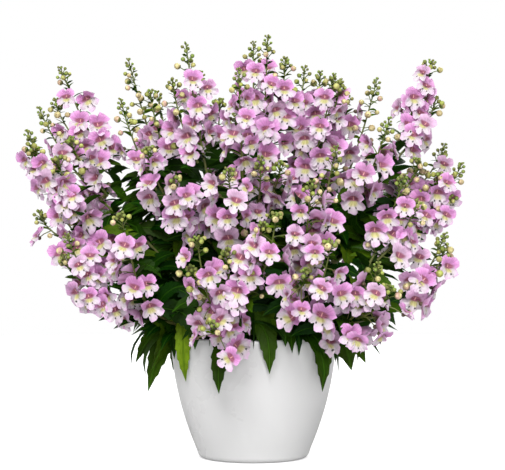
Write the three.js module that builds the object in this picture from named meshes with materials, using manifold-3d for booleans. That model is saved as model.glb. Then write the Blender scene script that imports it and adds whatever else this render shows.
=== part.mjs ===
// A potted angelonia: a plain white pot, its soil, branching leafy stems and the flower spikes they carry.
// Millimetres, +Z up. The origin is the centre of the pot's flat underside, and the front faces -Y.
import * as THREE from "three";
import { mergeVertices } from "three/addons/utils/BufferGeometryUtils.js";
import Module from "manifold-3d";

const wasm = await Module();
wasm.setup();

// Pot and soil
const POT_HEIGHT = 104;
const POT_BASE_RADIUS = 45;
const POT_FLARE = 25;
const POT_CURVE = 1.9;
const POT_WALL = 3;
const POT_FLOOR = 4;
const POT_FOOT_ROUND = 6;
const POT_SIDES = 32;
const OUTER_WALL_LEVELS = [27, 52, 78];
const INNER_WALL_FOOT = 9;
const INNER_WALL_TOP = 58;
const FLOOR_ROUND = 5;
const RIM_ROUND = 1.2;
const SOIL_TOP = 91;
const SOIL_CROWN = 3;
const SOIL_SHOULDER = 0.55;
const GAP = 0.35;
const SLIVER = 0.06;
const CLEARANCE_GROWTH = 1.04;

// Stems
const STEM_RADIUS = 2.1;
const STEM_TOP_RADIUS = 1.5;
const STEM_SIDES = 4;
const STEM_BURIED = 16;
const STEM_STEP = 52;
const STEM_LEAN_LIMIT = 0.52;
const BASE_SPREAD = 0.25;
const BRANCHES_AT = [0.26, 0.37];
const BRANCH_SLIMMER = 0.8;
const BRANCH_ASIDE = 0.35;

// Flower spikes
const AXIS_RADIUS = 1.5;
const AXIS_TOP_RADIUS = 1;
const AXIS_SIDES = 3;
const AXIS_STEP = 34;
const SPIKE_LEAN = 0.42;
const LEAN_REACH = 180;
const KNOT_LENGTH = 7;
const KNOT_RADIUS = 2.2;
const FLOWERING_SHARE = 0.72;
const FLOWER_SPACING = 14.5;
const BUD_SPACING = 7.6;
const TURN = THREE.MathUtils.degToRad(137.5);
const FLOWER_RADIUS = 13.4;
const PEDICEL = 8;
const FLOWER_DEPTH = 5;
const THROAT_DEPTH = 3;
const CALYX_RADIUS = 2.4;
const ROOT_DEPTH = 0.15;
const BUD_PEDICEL = 7.5;
const BUD_RADIUS = 2.6;
const BUD_TOP_RADIUS = 1.7;

// Leaves
const LEAF_LENGTH = 58;
const LEAF_HALF_WIDTH = 7.2;
const LEAF_THICKNESS = 0.8;

// Each stem forks into its spikes. A spike is the place of its tip and its length; the first ends the main
// stem and the others end its side branches. Those in front were read from the photograph, and the back is
// filled in the same manner.
const STEMS = [
  [[-166, 20, 333, 122], [-181, -14, 297, 116]],
  [[-187, -52, 276, 100], [-168, -36, 224, 92]],
  [[-109, 40, 342, 120], [-112, -20, 304, 108]],
  [[-57, -20, 351, 126], [-86, -90, 261, 106]],
  [[-87, 95, 317, 108], [-47, 70, 333, 104]],
  [[-12, -75, 326, 118], [-20, -118, 244, 100]],
  [[-152, -84, 192, 94], [-106, -116, 208, 100]],
  [[-44, -148, 190, 104], [17, -148, 208, 92]],
  [[0, 55, 358, 112], [12, -16, 357, 118], [6, -84, 254, 90]],
  [[45, 46, 336, 106], [67, -30, 324, 112]],
  [[66, -98, 262, 100], [60, -150, 186, 98], [46, -126, 234, 90]],
  [[106, 15, 323, 110], [111, -68, 286, 104]],
  [[98, -134, 170, 86], [122, -92, 240, 92], [156, -76, 192, 90]],
  [[151, -8, 337, 110], [175, -22, 250, 96], [167, 42, 268, 96]],
  [[62, 112, 300, 108], [126, 98, 250, 96]],
  [[84, 152, 206, 92], [18, 164, 222, 92]],
  [[-16, 120, 304, 108], [-62, 156, 216, 92]],
  [[-150, 90, 250, 98], [-110, 132, 212, 90]],
];

const potWhite = new THREE.MeshStandardMaterial({ color: 0xf2f2f0, roughness: 0.35 });
const soilBrown = new THREE.MeshStandardMaterial({ color: 0x2b1d14, roughness: 1 });
const leafGreen = new THREE.MeshStandardMaterial({ color: 0x2f5a1c, roughness: 0.5 });
const petalPink = new THREE.MeshStandardMaterial({ color: 0xdc9bdc, roughness: 0.6 });

const UP = new THREE.Vector3(0, 0, 1);
const OUTWARD = -Math.PI / 2;

// The same small generator gives every random draw, so a spike always comes out alike.
function drawsFrom(seed) {
  const MODULUS = 2147483647;
  let state = (seed * 7919) % MODULUS;
  return () => {
    state = (state * 16807) % MODULUS;
    return state / MODULUS;
  };
}

function solidOf(geometry) {
  const bare = geometry.clone();
  bare.deleteAttribute("normal");
  bare.deleteAttribute("uv");
  const merged = mergeVertices(bare, 1e-4);
  return new wasm.Manifold(
    new wasm.Mesh({
      numProp: 3,
      vertProperties: Float32Array.from(merged.attributes.position.array),
      triVerts: Uint32Array.from(merged.index.array),
    }),
  );
}

// A closed solid from its corner points and its faces, which turn anticlockwise seen from outside.
function closedSolid(points, faces) {
  const geometry = new THREE.BufferGeometry().setFromPoints(points);
  geometry.setIndex(faces.flat());
  return solidOf(geometry);
}

function meshOf(solid, name, material) {
  const { numProp, numVert, vertProperties, triVerts } = solid.getMesh();
  const position = new Float32Array(numVert * 3);
  for (let i = 0; i < numVert; i++) {
    position.set(vertProperties.subarray(i * numProp, i * numProp + 3), i * 3);
  }
  const geometry = new THREE.BufferGeometry();
  geometry.setAttribute("position", new THREE.BufferAttribute(position, 3));
  geometry.setIndex(new THREE.BufferAttribute(Uint32Array.from(triVerts), 1));
  const mesh = new THREE.Mesh(geometry, material);
  mesh.name = name;
  return mesh;
}

// Solids fused into one, without the slivers that the fusing leaves behind.
function united(solids) {
  return wasm.Manifold.union(solids).asOriginal().simplify(SLIVER);
}

// Pot: a turned shell with a rounded foot and a wall that flares less and less towards the rim.
function potRadius(z) {
  return POT_BASE_RADIUS + POT_FLARE * (1 - (1 - z / POT_HEIGHT) ** POT_CURVE);
}

function turned(profile) {
  const points = profile.map(([r, z]) => new THREE.Vector2(r, z));
  return new THREE.LatheGeometry(points, POT_SIDES).rotateX(Math.PI / 2);
}

function potSolid() {
  const footCentre = potRadius(POT_FOOT_ROUND) - POT_FOOT_ROUND;
  const foot = [0, 45].map((degrees) => {
    const a = THREE.MathUtils.degToRad(degrees);
    return [footCentre + POT_FOOT_ROUND * Math.sin(a), POT_FOOT_ROUND * (1 - Math.cos(a))];
  });
  const outer = [POT_FOOT_ROUND, ...OUTER_WALL_LEVELS].map((z) => [potRadius(z), z]);
  const rimRadius = potRadius(POT_HEIGHT);
  const rim = [
    [rimRadius, POT_HEIGHT - RIM_ROUND],
    [rimRadius - RIM_ROUND, POT_HEIGHT],
    [rimRadius - POT_WALL, POT_HEIGHT - RIM_ROUND / 3],
  ];
  const inner = [INNER_WALL_TOP, INNER_WALL_FOOT].map((z) => [potRadius(z) - POT_WALL, z]);
  const floor = [
    [potRadius(INNER_WALL_FOOT) - POT_WALL - FLOOR_ROUND, POT_FLOOR],
    [0, POT_FLOOR],
  ];
  return solidOf(turned([[0, 0], ...foot, ...outer, ...rim, ...inner, ...floor]));
}

// Soil: it fills the pot up to a low crown, a small gap inside the wall.
function soilSolid() {
  const wall = [INNER_WALL_FOOT, INNER_WALL_TOP].map((z) => [potRadius(z) - POT_WALL - GAP, z + 2 * GAP]);
  const upTheWall = (SOIL_TOP - INNER_WALL_TOP) / (POT_HEIGHT - INNER_WALL_TOP);
  const wallRadius = THREE.MathUtils.lerp(potRadius(INNER_WALL_TOP), potRadius(POT_HEIGHT), upTheWall);
  const edge = wallRadius - POT_WALL - 2 * GAP;
  return solidOf(
    turned([
      [0, POT_FLOOR + GAP],
      [potRadius(INNER_WALL_FOOT) - POT_WALL - FLOOR_ROUND - GAP, POT_FLOOR + GAP],
      ...wall,
      [edge, SOIL_TOP],
      [edge * SOIL_SHOULDER, SOIL_TOP + 0.8 * SOIL_CROWN],
      [0, SOIL_TOP + SOIL_CROWN],
    ]),
  );
}

// A shoot's line leaves the soil or its parent stem, leads outward, and turns up into the leaning spike.
function outwardOf(point) {
  return new THREE.Vector3(point.x, point.y, 0).normalize();
}

function spikeDirection(tip) {
  const reach = Math.hypot(tip.x, tip.y);
  const lean = SPIKE_LEAN * (reach / LEAN_REACH);
  return UP.clone().addScaledVector(outwardOf(tip), lean).normalize();
}

// The low shoots sag before they turn up, so that their spikes hang in front of the rim.
function lineOf(start, heading, tip) {
  const span = start.distanceTo(tip);
  const lowness = THREE.MathUtils.clamp((220 - tip.z) / 30, 0, 1);
  const upturn = THREE.MathUtils.lerp(0.5, 0.66, lowness) * span;
  const first = start.clone().addScaledVector(heading, 0.3 * span);
  const second = tip.clone().addScaledVector(spikeDirection(tip), -upturn);
  return new THREE.CubicBezierCurve3(start, first, second, tip);
}

function stemLine(tip) {
  const start = new THREE.Vector3(tip.x * BASE_SPREAD, tip.y * BASE_SPREAD, SOIL_TOP + SOIL_CROWN);
  const reach = Math.hypot(tip.x - start.x, tip.y - start.y);
  const lean = Math.min(STEM_LEAN_LIMIT, (0.55 * reach) / (tip.z - start.z));
  return lineOf(start, UP.clone().addScaledVector(outwardOf(tip), lean).normalize(), tip);
}

function branchLine(parent, at, tip) {
  const start = parent.getPointAt(at);
  const heading = parent.getTangentAt(at);
  const aside = tip.clone().sub(start).normalize();
  return lineOf(start, heading.lerp(aside, BRANCH_ASIDE).normalize(), tip);
}

// A ring of corners square to the line: across is level, and up lies in the upright plane of the line.
function ringAxes(tangent) {
  const across = new THREE.Vector3().crossVectors(UP, tangent);
  if (across.length() < 0.05) across.set(1, 0, 0);
  across.normalize();
  return [across, new THREE.Vector3().crossVectors(tangent, across)];
}

// A shoot's line taken as straight runs between stations of { point, tangent, radius }.
function stationsAlong(line, from, to, radiusFrom, radiusTo, step) {
  const steps = Math.max(2, Math.round(((to - from) * line.getLength()) / step));
  return Array.from({ length: steps + 1 }, (_, i) => {
    const u = from + ((to - from) * i) / steps;
    const radius = THREE.MathUtils.lerp(radiusFrom, radiusTo, i / steps);
    return { point: line.getPointAt(u), tangent: line.getTangentAt(u), radius };
  });
}

// A rod through its stations, made by bending a cylinder.
function rodSolid(stations, sides) {
  const rod = new THREE.CylinderGeometry(1, 1, 1, sides, stations.length - 1);
  const position = rod.attributes.position;
  const corner = new THREE.Vector3();
  for (let i = 0; i < position.count; i++) {
    const [x, y, z] = [position.getX(i), position.getY(i), position.getZ(i)];
    const { point, tangent, radius } = stations[Math.round((y + 0.5) * (stations.length - 1))];
    const [across, upward] = ringAxes(tangent);
    corner.copy(point).addScaledVector(across, z * radius).addScaledVector(upward, x * radius);
    position.setXYZ(i, corner.x, corner.y, corner.z);
  }
  return solidOf(rod);
}

// A place on the rod, a distance from its first station, with the outward direction at a turn round it.
function placeOn(stations, distance, turn) {
  const runs = new THREE.CurvePath();
  stations.slice(1).forEach((to, i) => runs.add(new THREE.LineCurve3(stations[i].point, to.point)));
  const share = THREE.MathUtils.clamp(distance / runs.getLength(), 0, 1);
  const along = runs.getTangent(share);
  const [across, upward] = ringAxes(along);
  const out = across.multiplyScalar(Math.cos(turn)).addScaledVector(upward, Math.sin(turn));
  return { point: runs.getPoint(share), along, out };
}

// Flower: five lobes round a sunken throat, two above, two at the sides and a lip that stands forward, drawn
// back through the calyx to a thin stalk. Each lobe has two corners and a notch beside it.
const LOBES = [
  { at: 0, r: 0.78, forward: -0.6 },
  { at: 16, r: 1.0, forward: -1.4 },
  { at: 48, r: 1.0, forward: -1.2 },
  { at: 67, r: 0.62, forward: 0 },
  { at: 84, r: 1.0, forward: -0.4 },
  { at: 114, r: 0.98, forward: 0.6 },
  { at: 136, r: 0.6, forward: 1.4 },
  { at: 160, r: 1.04, forward: 3.2 },
];

function flowerRim() {
  const mirrored = LOBES.slice(1).reverse().map((corner) => ({ ...corner, at: 360 - corner.at }));
  return [...LOBES, ...mirrored];
}

function flowerSolid({ point, along, out }, size, lift) {
  const stalk = out.clone().addScaledVector(along, lift).normalize();
  const face = out.clone().addScaledVector(along, 0.1).normalize();
  const side = new THREE.Vector3().crossVectors(face, along).normalize();
  const top = new THREE.Vector3().crossVectors(side, face);
  const calyx = point.clone().addScaledVector(stalk, PEDICEL);
  const centre = calyx.clone().addScaledVector(face, FLOWER_DEPTH);
  const at = (from, degrees, radius, forward) => {
    const a = THREE.MathUtils.degToRad(degrees);
    return from
      .clone()
      .addScaledVector(top, Math.cos(a) * radius)
      .addScaledVector(side, Math.sin(a) * radius)
      .addScaledVector(face, forward);
  };
  const rim = flowerRim().map(({ at: degrees, r, forward }) => {
    return at(centre, degrees, r * FLOWER_RADIUS * size, forward);
  });
  const ring = [0, 120, 240].map((degrees) => at(calyx, degrees, CALYX_RADIUS, 0));
  const throat = centre.clone().addScaledVector(face, -THROAT_DEPTH);
  const root = point.clone().addScaledVector(stalk, -ROOT_DEPTH);
  const points = [...rim, ...ring, throat, root];
  const [count, throatIndex, rootIndex] = [rim.length, rim.length + 3, rim.length + 4];
  const nearest = (i) => count + (Math.round((i * 3) / count) % 3);
  const faces = [];
  for (let i = 0; i < count; i++) {
    const next = (i + 1) % count;
    faces.push([i, next, throatIndex], [next, i, nearest(i)]);
    if (nearest(i) !== nearest(next)) faces.push([next, nearest(i), nearest(next)]);
  }
  for (let i = 0; i < 3; i++) faces.push([count + i, rootIndex, count + ((i + 1) % 3)]);
  return closedSolid(points, faces);
}

// Bud: a thin stalk that widens into a small four-cornered bud.
function budSolid({ point, along, out }, radius, reach) {
  const stalk = out.clone().addScaledVector(along, 0.7).normalize();
  const side = new THREE.Vector3().crossVectors(stalk, along).normalize();
  const top = new THREE.Vector3().crossVectors(side, stalk);
  const root = point.clone().addScaledVector(stalk, -ROOT_DEPTH);
  const belly = point.clone().addScaledVector(stalk, reach);
  const tip = belly.clone().addScaledVector(stalk, 1.5 * radius);
  const ring = [0, 1, 2, 3].map((i) => {
    const a = (i * Math.PI) / 2;
    const corner = belly.clone().addScaledVector(top, radius * Math.cos(a));
    return corner.addScaledVector(side, radius * Math.sin(a));
  });
  const faces = [0, 1, 2, 3].flatMap((i) => [
    [i, (i + 1) % 4, 4],
    [(i + 1) % 4, i, 5],
  ]);
  return closedSolid([...ring, tip, root], faces);
}

// Leaf: a lance-shaped blade with two teeth on each side, arched along its length. Each station is its share
// of the length and of the half width.
const LEAF_STATIONS = [
  [0, 0.14],
  [0.33, 1],
  [0.39, 0.7],
  [0.63, 0.82],
  [0.69, 0.5],
];

function leafSolid({ point, along, out }, length, rise, droop) {
  const side = new THREE.Vector3().crossVectors(along, out).normalize();
  const level = new THREE.Vector3().crossVectors(side, UP).normalize();
  if (level.dot(out) < 0) level.negate();
  const crosswise = new THREE.Vector3().crossVectors(level, UP);
  const halfWidth = LEAF_HALF_WIDTH * (length / LEAF_LENGTH);
  const upper = [];
  const lower = [];
  const addCorner = ({ spot, normal }, width) => {
    const corner = spot.clone().addScaledVector(crosswise, width * halfWidth);
    upper.push(corner.clone().addScaledVector(normal, LEAF_THICKNESS / 2));
    lower.push(corner.clone().addScaledVector(normal, -LEAF_THICKNESS / 2));
  };
  for (const [share, width] of LEAF_STATIONS) {
    const station = archAt(share, { point, level, length, rise, droop });
    addCorner(station, -width);
    addCorner(station, width);
  }
  addCorner(archAt(1, { point, level, length, rise, droop }), 0);
  return bladeSolid(upper, lower);
}

// A spot on the leaf's midline, which starts with its rise above the level and bends down at an even rate.
function archAt(share, { point, level, length, rise, droop }) {
  const bend = droop / length;
  const angle = rise - droop * share;
  const outward = (Math.sin(rise) - Math.sin(angle)) / bend;
  const upward = (Math.cos(angle) - Math.cos(rise)) / bend;
  const spot = point.clone().addScaledVector(level, outward).addScaledVector(UP, upward);
  const normal = UP.clone().multiplyScalar(Math.cos(angle)).addScaledVector(level, -Math.sin(angle));
  return { spot, normal };
}

// A thin blade from its upper and lower corners: pairs of left and right ones, then one at the tip.
function bladeSolid(upper, lower) {
  const n = upper.length;
  const strip = [];
  for (let i = 0; i + 3 < n; i += 2) strip.push([i, i + 1, i + 3], [i, i + 3, i + 2]);
  strip.push([n - 3, n - 2, n - 1]);
  const lefts = Array.from({ length: (n - 1) / 2 }, (_, i) => 2 * i);
  const loop = [...lefts.map((i) => i + 1), n - 1, ...lefts.reverse()];
  const faces = [];
  for (const [a, b, c] of strip) faces.push([a, b, c], [a + n, c + n, b + n]);
  loop.forEach((a, i) => {
    const b = loop[(i + 1) % loop.length];
    faces.push([a, a + n, b + n], [a, b + n, b]);
  });
  return closedSolid([...upper, ...lower], faces);
}

// Every solid placed so far. A flower, bud or leaf is kept only where it stays clear of all of them but the
// rod that it grows from.
const placed = [];

function overlapping(a, b) {
  return [0, 1, 2].every((k) => a.min[k] < b.max[k] && b.min[k] < a.max[k]);
}

function isClear(solid, rod) {
  const box = solid.boundingBox();
  return placed.every((other) => {
    if (other.solid === rod || !overlapping(box, other.box)) return true;
    return solid.intersect(other.solid).isEmpty();
  });
}

function place(solid) {
  placed.push({ solid, box: solid.boundingBox() });
  return solid;
}

// The first of the tries that is clear of everything else, as is its slightly larger copy.
function firstClear(tries, make, rod) {
  for (const attempt of tries) {
    const solid = make(attempt, 1);
    if (isClear(solid, rod) && isClear(make(attempt, CLEARANCE_GROWTH), rod)) return place(solid);
  }
  return null;
}

const TURNS_TO_TRY = [0, 0.25, -0.25, 0.5, -0.5, 0.8, -0.8, 1.1, -1.1];
const FIRST_TURN = OUTWARD - 0.45;

function spikeParts(shoot, axis) {
  const { spike, stations, random } = shoot;
  const flowering = spike * FLOWERING_SHARE;
  const flowers = Math.round(flowering / FLOWER_SPACING);
  const parts = [];
  for (let i = 0; i < flowers; i++) {
    const [turnDraw, sizeDraw, liftDraw] = [random(), random(), random()];
    const distance = ((i + 0.45) * flowering) / flowers;
    const size = 1.03 - 0.16 * (i / flowers) + 0.08 * (sizeDraw - 0.5);
    const lift = 0.2 + 0.3 * liftDraw;
    const turn = shoot.turn + i * TURN + 0.5 * (turnDraw - 0.5);
    const tries = TURNS_TO_TRY.flatMap((swing) => [1, 0.9].map((shrink) => ({ swing, shrink })));
    const make = ({ swing, shrink }, grow) => {
      return flowerSolid(placeOn(stations, distance, turn + swing), size * shrink * grow, lift);
    };
    parts.push(firstClear(tries, make, axis));
  }
  const buds = Math.round((spike - flowering) / BUD_SPACING) - 1;
  for (let i = 0; i < buds; i++) {
    const turnDraw = random();
    const share = i / buds;
    const distance = flowering + (i + 0.4) * BUD_SPACING;
    const turn = shoot.turn + (flowers + i) * TURN + 0.5 * (turnDraw - 0.5);
    const radius = THREE.MathUtils.lerp(BUD_RADIUS, BUD_TOP_RADIUS, share);
    const reach = THREE.MathUtils.lerp(BUD_PEDICEL, 0.6 * BUD_PEDICEL, share);
    const make = (swing, grow) => {
      return budSolid(placeOn(stations, distance, turn + swing), radius * grow, reach * grow);
    };
    parts.push(firstClear(TURNS_TO_TRY, make, axis));
  }
  return parts.filter(Boolean);
}

// The spike's axis ends in the knot of unopened buds: a wider ring, then a point.
function spikeStations(line, footAt) {
  const length = line.getLength();
  const start = footAt + GAP / 2 / length;
  const end = 1 - KNOT_LENGTH / length;
  const stations = stationsAlong(line, start, end, AXIS_RADIUS, AXIS_TOP_RADIUS, AXIS_STEP);
  const knot = [
    [0.64 * KNOT_LENGTH, KNOT_RADIUS],
    [0, 0.25 * KNOT_RADIUS],
  ];
  for (const [back, radius] of knot) {
    const u = 1 - back / length;
    stations.push({ point: line.getPointAt(u), tangent: line.getTangentAt(u), radius });
  }
  return stations;
}

// The stem's stations, cut off just below the spike; a main stem also runs down into the soil.
function stemStations(line, footAt, buried) {
  const end = footAt - GAP / 2 / line.getLength();
  const foot = buried ? STEM_RADIUS : BRANCH_SLIMMER * STEM_RADIUS;
  const stations = stationsAlong(line, 0, end, foot, STEM_TOP_RADIUS, STEM_STEP);
  if (buried) {
    const { point, tangent } = stations[0];
    const bottom = point.clone().addScaledVector(tangent, -STEM_BURIED);
    stations.unshift({ point: bottom, tangent, radius: STEM_RADIUS });
  }
  return stations;
}

function shootOf(line, spike, index, buried) {
  const random = drawsFrom(index + 1);
  const turn = FIRST_TURN + 0.7 * (random() - 0.5);
  const footAt = 1 - spike / line.getLength();
  const bare = footAt * line.getLength();
  const stem = stemStations(line, footAt, buried);
  return { spike, bare, random, turn, stem, stations: spikeStations(line, footAt) };
}

const shoots = [];
const stems = STEMS.map((spikes) => {
  const tips = spikes.map(([x, y, z]) => new THREE.Vector3(x, y, z));
  const main = stemLine(tips[0]);
  const branches = tips.slice(1).map((tip, i) => branchLine(main, BRANCHES_AT[i], tip));
  const own = [main, ...branches].map((line, i) => {
    return shootOf(line, spikes[i][3], shoots.length + i, i === 0);
  });
  shoots.push(...own);
  return own;
});

// A stem's leaves: a long one low down, which hangs over the rim where the stem leans out, and shorter ones
// higher. Each kind is its share of the bare stem, its turn round it, its size and how far it bends down.
const LOWEST_LEAF = 24;
const LEAF_KINDS = [
  { share: 0, around: 0, size: 1.08, bend: 1.9 },
  { share: 0.35, around: 1.6, size: 1, bend: 1.2 },
  { share: 0.7, around: -1.5, size: 0.85, bend: 1.1 },
];
const LEAF_SWINGS = [0, 0.5, -0.5, 1, -1, 1.5, -1.5, 2.2, -2.2, 2.8];

function leavesOf(shoot, rod) {
  const { stem, bare, random, turn } = shoot;
  const leaves = LEAF_KINDS.map(({ share, around, size, bend }) => {
    const distance = STEM_BURIED + LOWEST_LEAF + (bare - LOWEST_LEAF) * share;
    const [lengthDraw, riseDraw, droopDraw] = [random(), random(), random()];
    const length = LEAF_LENGTH * size * (0.9 + 0.2 * lengthDraw);
    const rise = 0.25 + 0.3 * riseDraw;
    const droop = bend * (0.85 + 0.3 * droopDraw);
    const tries = LEAF_SWINGS.flatMap((swing) => [0, 0.35, -0.35].map((tilt) => ({ swing, tilt })));
    const make = ({ swing, tilt }, grow) => {
      const at = placeOn(stem, distance, OUTWARD + around + 0.8 * (turn - OUTWARD) + swing);
      return leafSolid(at, length * grow, rise + tilt, droop);
    };
    return firstClear(tries, make, rod);
  });
  return leaves.filter(Boolean);
}

// The plain hole that a stem stands in.
function stemHole({ stem }) {
  const [{ point: bottom, tangent }, { point: top }] = stem;
  const radius = STEM_RADIUS + GAP / Math.cos(Math.PI / STEM_SIDES);
  const stations = [
    { point: bottom.clone().addScaledVector(tangent, -GAP), tangent, radius },
    { point: top.clone().addScaledVector(tangent, STEM_BURIED), tangent, radius },
  ];
  return rodSolid(stations, STEM_SIDES);
}

const plant = new THREE.Group();
plant.add(meshOf(place(potSolid()), "pot", potWhite));
const holes = stems.map(([main]) => stemHole(main));
plant.add(meshOf(place(soilSolid().subtract(united(holes))), "soil", soilBrown));

const stemRods = stems.map((own) => own.map(({ stem }) => place(rodSolid(stem, STEM_SIDES))));
const axes = shoots.map(({ stations }) => place(rodSolid(stations, AXIS_SIDES)));
const twoDigits = (i) => String(i + 1).padStart(2, "0");
shoots.forEach((shoot, i) => {
  const spike = united([axes[i], ...spikeParts(shoot, axes[i])]);
  plant.add(meshOf(spike, "flower_spike_" + twoDigits(i), petalPink));
});
stems.forEach(([main], i) => {
  const stem = united([...stemRods[i], ...leavesOf(main, stemRods[i][0])]);
  plant.add(meshOf(stem, "leafy_stem_" + twoDigits(i), leafGreen));
});

export default plant;
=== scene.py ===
"""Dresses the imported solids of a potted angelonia: a white pot, its soil, leafy stems and flower spikes.

The file is laid out as an add-on and is run as a script. Shapes are worked out in millimetres in the frame
of the solids and written in metres. A share runs from 0 to 1, and a turn is an angle round a line.
"""

import math
from random import Random

import bpy
import numpy as np
from bpy.props import FloatProperty, FloatVectorProperty, PointerProperty
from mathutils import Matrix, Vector, noise


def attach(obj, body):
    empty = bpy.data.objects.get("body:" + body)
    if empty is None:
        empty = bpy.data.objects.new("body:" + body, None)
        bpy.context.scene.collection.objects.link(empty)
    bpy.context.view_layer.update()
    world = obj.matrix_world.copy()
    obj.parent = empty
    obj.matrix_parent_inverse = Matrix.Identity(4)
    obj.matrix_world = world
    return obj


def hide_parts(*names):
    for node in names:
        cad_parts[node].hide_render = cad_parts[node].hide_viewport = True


bl_info = {
    "name": "Potted Angelonia",
    "version": (1, 0, 0),
    "blender": (4, 5, 0),
    "location": "View3D > Sidebar > Angelonia",
    "description": "Makes the pot, the soil, the leafy stems and the flower spikes of a potted angelonia",
    "category": "Add Mesh",
}

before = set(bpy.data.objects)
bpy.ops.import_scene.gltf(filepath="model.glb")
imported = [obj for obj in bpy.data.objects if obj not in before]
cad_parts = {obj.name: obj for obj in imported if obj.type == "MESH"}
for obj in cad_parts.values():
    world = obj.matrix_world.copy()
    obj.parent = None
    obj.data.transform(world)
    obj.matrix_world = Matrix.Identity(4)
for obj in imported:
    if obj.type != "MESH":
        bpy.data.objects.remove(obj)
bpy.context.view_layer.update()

MM = 0.001
UP = np.array([0.0, 0.0, 1.0])
FRONT = np.array([0.0, -1.0, 0.0])

# Pot and soil, as in the solids
POT_HEIGHT = 104
POT_BASE_RADIUS = 45
POT_FLARE = 25
POT_CURVE = 1.9
POT_WALL = 3
POT_FLOOR = 4
SOIL_TOP = 91
SOIL_CROWN = 3

# Shoots, as in the solids
BASE_SPREAD = 0.25
STEM_LEAN_LIMIT = 0.52
LEAN_PER_REACH = 0.55
BRANCHES_AT = [0.26, 0.37]
BRANCH_ASIDE = 0.35
SPIKE_LEAN = 0.42
LEAN_REACH = 180
STEM_BURIED = 16
STEM_STEP = 52
STEM_GAP = 0.35
FLOWERING_SHARE = 0.72
SOLID_FLOWER_SPACING = 14.5
SOLID_BUD_SPACING = 7.6
TURN = math.radians(137.5)
OUTWARD = -math.pi / 2
FIRST_TURN = OUTWARD - 0.45
TURN_SPREAD = 0.7
# A shoot leaves its start in its heading over one share of the span between its ends, and comes up to its tip
# over another, which grows to LOW_RISING_SHARE for tips that stand LOW_TIP_RANGE below LOW_TIP.
LEAVING_SHARE = 0.3
RISING_SHARE = 0.5
LOW_RISING_SHARE = 0.66
LOW_TIP = 220
LOW_TIP_RANGE = 30

# Each stem forks into its spikes. A spike is the place of its tip and its length; the first ends the main
# stem and the others end its side branches.
STEMS = [
    [(-166, 20, 333, 122), (-181, -14, 297, 116)],
    [(-187, -52, 276, 100), (-168, -36, 224, 92)],
    [(-109, 40, 342, 120), (-112, -20, 304, 108)],
    [(-57, -20, 351, 126), (-86, -90, 261, 106)],
    [(-87, 95, 317, 108), (-47, 70, 333, 104)],
    [(-12, -75, 326, 118), (-20, -118, 244, 100)],
    [(-152, -84, 192, 94), (-106, -116, 208, 100)],
    [(-44, -148, 190, 104), (17, -148, 208, 92)],
    [(0, 55, 358, 112), (12, -16, 357, 118), (6, -84, 254, 90)],
    [(45, 46, 336, 106), (67, -30, 324, 112)],
    [(66, -98, 262, 100), (60, -150, 186, 98), (46, -126, 234, 90)],
    [(106, 15, 323, 110), (111, -68, 286, 104)],
    [(98, -134, 170, 86), (122, -92, 240, 92), (156, -76, 192, 90)],
    [(151, -8, 337, 110), (175, -22, 250, 96), (167, 42, 268, 96)],
    [(62, 112, 300, 108), (126, 98, 250, 96)],
    [(84, 152, 206, 92), (18, 164, 222, 92)],
    [(-16, 120, 304, 108), (-62, 156, 216, 92)],
    [(-150, 90, 250, 98), (-110, 132, 212, 90)],
]


class PotSettings(bpy.types.PropertyGroup):
    """The pot and its soil."""

    glaze: FloatVectorProperty(
        name="Glaze", description="Colour of the pot", subtype="COLOR", default=(0.71, 0.71, 0.708)
    )
    gloss: FloatProperty(
        name="Roughness",
        description="Roughness of the pot's surface",
        subtype="FACTOR",
        default=0.26,
        min=0,
        max=1,
    )
    soil: FloatVectorProperty(
        name="Soil", description="Colour of the damp soil", subtype="COLOR", default=(0.035, 0.02, 0.012)
    )


class FlowerSettings(bpy.types.PropertyGroup):
    """The flowers."""

    radius: FloatProperty(
        name="Radius",
        description="Half the width of a flower",
        unit="LENGTH",
        default=0.0101,
        min=0.005,
        max=0.02,
    )
    reach: FloatProperty(
        name="Reach",
        description="Distance of a flower's face from the spike's axis",
        unit="LENGTH",
        default=0.0125,
        min=0.005,
        max=0.03,
    )
    spacing: FloatProperty(
        name="Spacing",
        description="Distance between flowers along the spike",
        unit="LENGTH",
        default=0.0046,
        min=0.003,
        max=0.02,
    )
    hood: FloatVectorProperty(
        name="Hood", description="Colour of the upper lobes", subtype="COLOR", default=(0.79, 0.31, 0.69)
    )
    side: FloatVectorProperty(
        name="Side lobes", description="Colour of the side lobes", subtype="COLOR", default=(0.85, 0.53, 0.82)
    )
    lip: FloatVectorProperty(
        name="Lip", description="Colour of the lower lip", subtype="COLOR", default=(0.75, 0.66, 0.72)
    )
    throat: FloatVectorProperty(
        name="Throat", description="Colour of the throat", subtype="COLOR", default=(0.20, 0.04, 0.08)
    )
    pouch: FloatVectorProperty(
        name="Pouch",
        description="Colour of the pouch below the throat",
        subtype="COLOR",
        default=(0.76, 0.71, 0.32),
    )


class LeafSettings(bpy.types.PropertyGroup):
    """The leaves and stems."""

    length: FloatProperty(
        name="Length", description="Length of a low leaf", unit="LENGTH", default=0.056, min=0.02, max=0.09
    )
    spacing: FloatProperty(
        name="Spacing",
        description="Distance between pairs of leaves",
        unit="LENGTH",
        default=0.009,
        min=0.006,
        max=0.05,
    )
    green: FloatVectorProperty(
        name="Green", description="Colour of a grown leaf", subtype="COLOR", default=(0.004, 0.037, 0.0005)
    )
    young: FloatVectorProperty(
        name="Young green", description="Colour of a young leaf", subtype="COLOR", default=(0.20, 0.33, 0.012)
    )
    stem: FloatVectorProperty(
        name="Stem", description="Colour of the stems", subtype="COLOR", default=(0.17, 0.20, 0.04)
    )


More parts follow.
